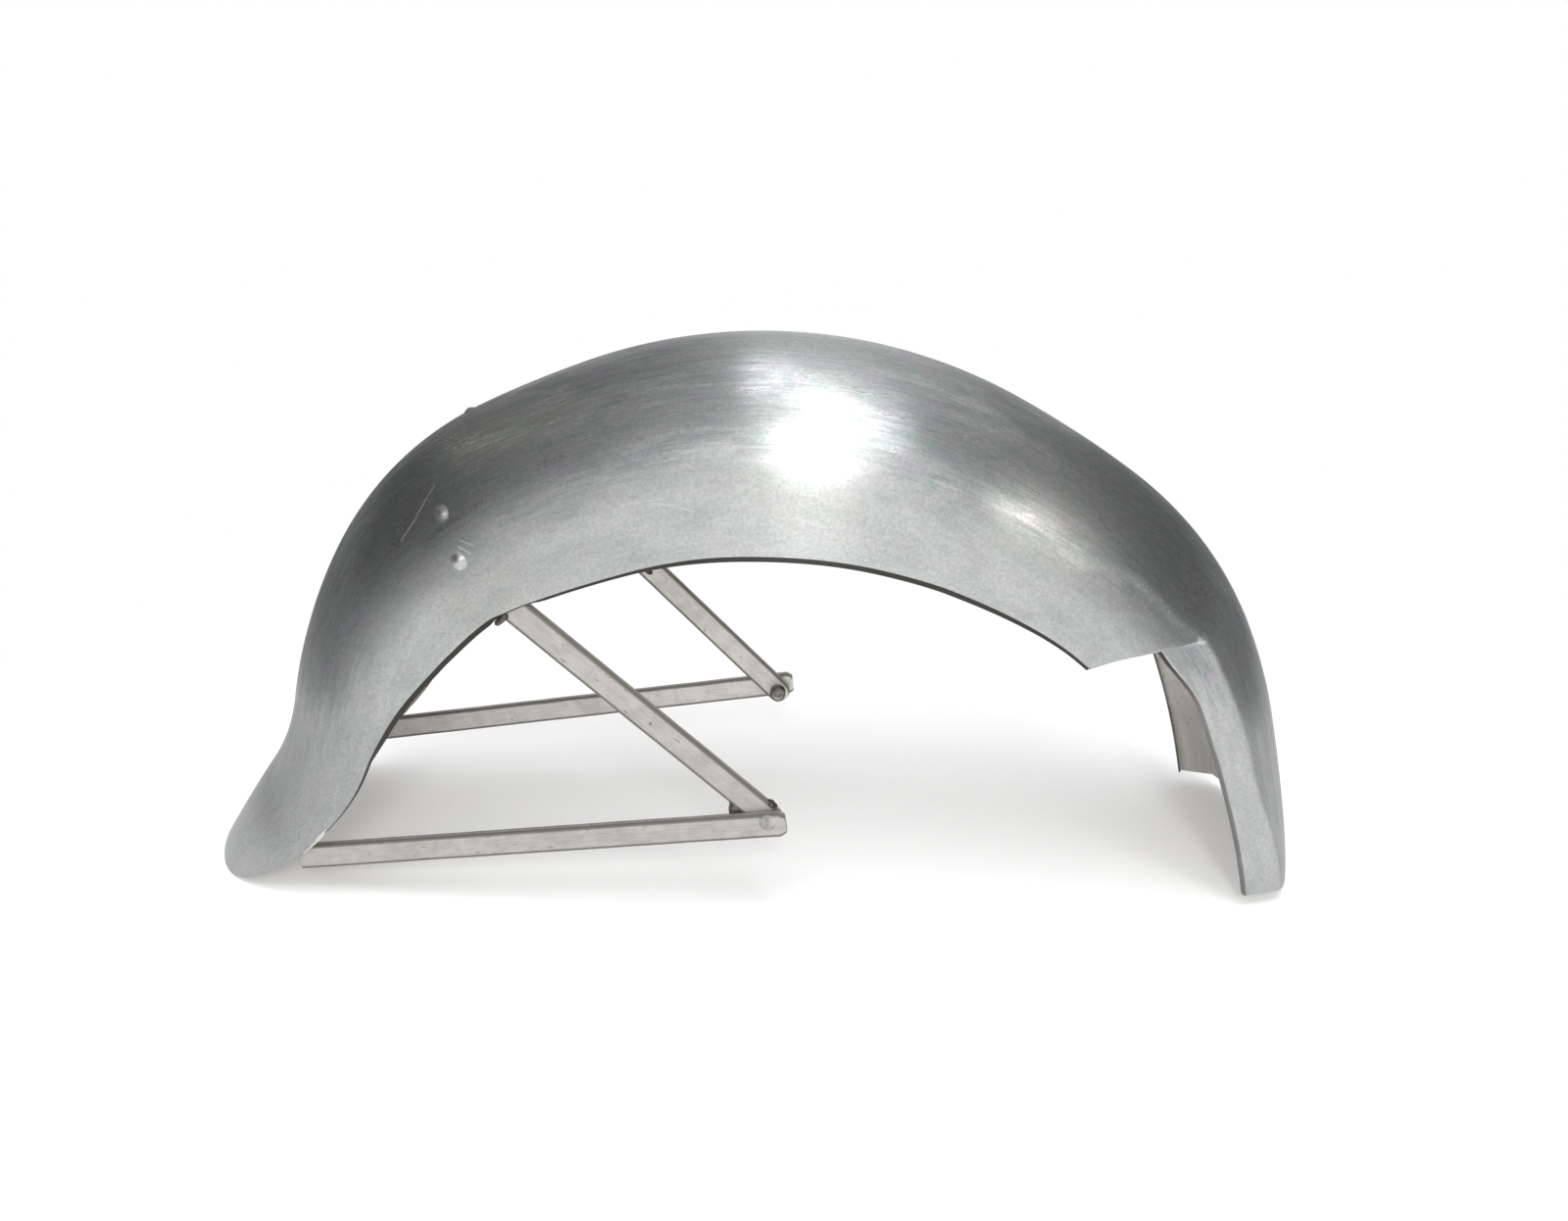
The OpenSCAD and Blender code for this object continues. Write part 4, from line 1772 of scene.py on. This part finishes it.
@dataclass(frozen=True)
class Lamp:
    """An area lamp: place, aim and size in metres, power, colour, and whether the steel mirrors it."""

    name: str
    at: Point
    aim: Point
    size: Span
    watts: float
    tint: Colour
    mirrored: bool = True

    def make(self) -> None:
        """Makes the lamp."""
        data = bpy.data.lights.new(self.name, "AREA")
        data.shape, data.size, data.size_y = "RECTANGLE", *self.size
        data.energy, data.color = self.watts, self.tint
        lamp = bpy.data.objects.new(self.name, data)
        way = Vector(self.aim) - Vector(self.at)
        lamp.matrix_world = Matrix.Translation(self.at) @ way.to_track_quat("-Z", "Y").to_matrix().to_4x4()
        lamp.visible_glossy = self.mirrored
        bpy.context.scene.collection.objects.link(lamp)


@dataclass(frozen=True)
class Studio:
    """Camera, floor, world and lamps.

    The camera's place is millimetres from the eyes' middle. The room is a grey by height in mirrors, and
    the floor's spans are metres: where it darkens beside the fender, and where it turns plain white.
    """

    eye_at: Point = (33.11, -755.776, 449.444)
    pitch: float = 24.0997
    yaw: float = -1.8931
    roll: float = -0.2787
    lens: float = 27.0
    sensor: float = 36.0
    clip: Span = (0.05, 60.0)
    room: tuple[Span, ...] = (
        (0.0, 0.36), (0.06, 0.22), (0.16, 0.13), (0.45, 0.14), (0.80, 0.24), (1.0, 0.40),
    )
    room_light: Colour = (0.90, 0.90, 0.905)
    lobes: tuple[Lobe, ...] = (
        Lobe((0.26, 0.40, 0.88), 0.80, 0.99, 0.45, 1.0),
        Lobe((-0.94, -0.30, 0.06), 0.55, 0.95, 0.75, 0.05),
        Lobe((0.90, -0.43, 0.04), 0.65, 0.95, 0.45, 0.05),
        Lobe((0.10, -0.98, 0.16), 0.70, 0.97, 0.95, 1.15),
        Lobe((0.09, -0.86, 0.50), 0.87, 0.99, 0.78, 1.1),
        Lobe((0.0, 0.99, 0.10), 0.75, 0.98, 0.5, 1.0),
    )
    floor_half: float = 9.0
    floor_light: Colour = (0.965, 0.965, 0.965)
    floor_dark: Colour = (0.95, 0.95, 0.95)
    beyond: Colour = (0.2, 0.2, 0.205)
    beyond_from: Span = (0.48, 1.05)
    beyond_middle: float = 0.08
    pool_scale: Point = (1.75, 2.6, 1.0)
    pool_shift: Point = (0.0, -0.1, 0.0)
    white_from: Span = (0.75, 1.5)
    lamps: tuple[Lamp, ...] = (
        Lamp("front_box", (0.18, -1.55, 1.22), LIT_MIDDLE, (0.22, 0.5), 8.0, (1.0, 0.99, 0.97)),
        Lamp("top_strip", (0.29, -0.35, 1.85), LIT_MIDDLE, (0.035, 1.6), 5.4, (0.98, 0.99, 1.0)),
        Lamp("right_window", (1.25, -1.35, 0.95), LIT_MIDDLE, (0.25, 0.4), 1.5, (1.0, 0.95, 0.86)),
        Lamp("room_fill", (0.0, -0.7, 2.3), (0.0, 0.0, 0.0), (1.6, 1.2), 15.0, WHITE, False),
        Lamp("left_window", (-1.42, 0.42, 1.60), (-0.2, 0.0, 0.33), (0.03, 0.9), 0.26, (1.0, 0.96, 0.72)),
    )

    def camera(self) -> None:
        """Makes the camera at the photograph's place and angle."""
        data = bpy.data.cameras.new("camera")
        data.lens, data.sensor_width, data.sensor_fit = self.lens, self.sensor, "HORIZONTAL"
        data.clip_start, data.clip_end = self.clip
        level = cos_d(self.pitch)
        ahead = Vector((sin_d(self.yaw) * level, cos_d(self.yaw) * level, -sin_d(self.pitch)))
        right = Vector((cos_d(self.yaw), -sin_d(self.yaw), 0.0))
        up = right.cross(ahead)
        rolled_right = right * cos_d(self.roll) + up * sin_d(self.roll)
        rolled_up = up * cos_d(self.roll) - right * sin_d(self.roll)
        turn = Matrix((rolled_right, rolled_up, -ahead)).transposed().to_4x4()
        camera = bpy.data.objects.new("camera", data)
        at = Vector(self.eye_at) + Vector((EYE_X, 0, EYE_Z))
        camera.matrix_world = Matrix.Translation(at * MM) @ turn
        bpy.context.scene.collection.objects.link(camera)
        bpy.context.scene.camera = camera

    def world(self) -> None:
        """White to the camera, a grey room with soft patches in mirrors, even light elsewhere."""
        world = bpy.data.worlds.new("room")
        bpy.context.scene.world = world
        world.use_nodes = True
        n = Nodes(world.node_tree)
        rays = n.node("LightPath").outputs
        way = n.node("TexCoord").outputs["Generated"]
        ramp = n.node("ValToRGB", {0: n.node("SeparateXYZ", {0: way}).outputs["Z"]})
        elements = ramp.color_ramp.elements
        ramp.color_ramp.interpolation = "EASE"
        while len(elements) < len(self.room):
            elements.new(0.5)
        for element, (place, grey) in zip(elements, self.room):
            element.position = place
            element.color = (grey, grey, grey * 1.01, 1)
        shade = ramp.outputs[0]
        for lobe in self.lobes:
            toward = n.vector("DOT_PRODUCT", way, Vector(lobe.way).normalized()).outputs["Value"]
            patch = n.spread(toward, lobe.start, lobe.end, 0.0, lobe.amount)
            shade = n.blend(patch, shade, (lobe.grey,) * 3)
        shade = n.blend(rays["Is Glossy Ray"], self.room_light, shade)
        shade = n.blend(rays["Is Camera Ray"], shade, WHITE)
        back = n.node("Background", {"Color": shade})
        n.node("OutputWorld", {0: back.outputs[0]})

    def floor(self) -> None:
        """A white floor: it keeps the shadow, ends in plain white, and is darker at its sides off camera."""
        bm = bmesh.new()
        bmesh.ops.create_grid(bm, x_segments=8, y_segments=8, size=self.floor_half)
        s = Shader("pale_floor")
        camera = s.node("LightPath").outputs["Is Camera Ray"]
        x = s.node("SeparateXYZ", {0: s.here}).outputs["X"]
        beside = s.math("ABSOLUTE", s.minus(x, self.beyond_middle))
        room = s.times(s.spread(beside, *self.beyond_from), s.minus(1.0, camera))
        pale = s.blend(s.noise(s.here, 60.0, 3.0, 0.5), self.floor_dark, self.floor_light)
        s.put("Base Color", s.blend(room, pale, self.beyond))
        s.put("Roughness", 0.9)
        s.put("Specular IOR Level", 0.0)
        glow = s.node("Emission", {"Color": WHITE, "Strength": 1.0})
        ring = s.length(s.mapping(s.here, self.pool_scale, self.pool_shift))
        far = s.times(s.spread(ring, *self.white_from, 0.12, 1.0), camera)
        both = s.node("MixShader", {0: far, 1: s.surface.outputs[0], 2: glow.outputs[0]})
        s.feed(s.output.inputs[0], both.outputs[0])
        to_object(bm, "floor", (s.material,))

    def build(self) -> None:
        """Makes the whole studio."""
        scene = bpy.context.scene
        scene.view_settings.view_transform = "Standard"
        self.world()
        self.floor()
        self.camera()
        for lamp in self.lamps:
            lamp.make()


def main() -> None:
    """Builds the fender's pieces in order, then the studio."""
    logging.basicConfig(level=logging.INFO, format="%(name)s %(message)s")
    finishes = Finishes.make()
    shape = BladeShape()
    section = BarSection()
    hoop = HoopStay(shape)
    Blade(shape, finishes).build()
    hoop.build(section, finishes)
    LowerStay(Side.NEAR, slope=7.4, lift=-2.8, end_y=82.7).build(section, finishes)
    LowerStay(Side.FAR, slope=6.3, lift=2.8, end_y=80.0).build(section, finishes)
    for side in Side:
        EyeBush(side).build(finishes)
    RivetRow(hoop).build(finishes)
    # Weld beads painted near-black where shade falls in the corners of the stays.
    for bead in (
        ShadeWeldBead("near_corner_shade_bead", (-0.8, -90.3, 79.8), (5.0, 1.5, 8.0), -3.0, 0.55),
        ShadeWeldBead("near_top_shade_bead", (22.6, -90.8, 85.2), (4.2, 2.2, 2.1), 38.0),
        ShadeWeldBead("far_corner_shade_bead", (4.6, 91.2, 85.4), (3.8, 1.5, 2.6), 30.0),
        ShadeWeldBead("far_seat_shade_bead", (-80.3, 84.4, 182.2), (4.8, 1.5, 2.2), 50.0),
        ShadeWeldBead("near_seat_shade_bead", (-146.4, -90.0, 218.6), (5.4, 1.4, 2.2), -38.0),
    ):
        bead.build(finishes)
    Studio().build()


if __name__ == "__main__":
    main()
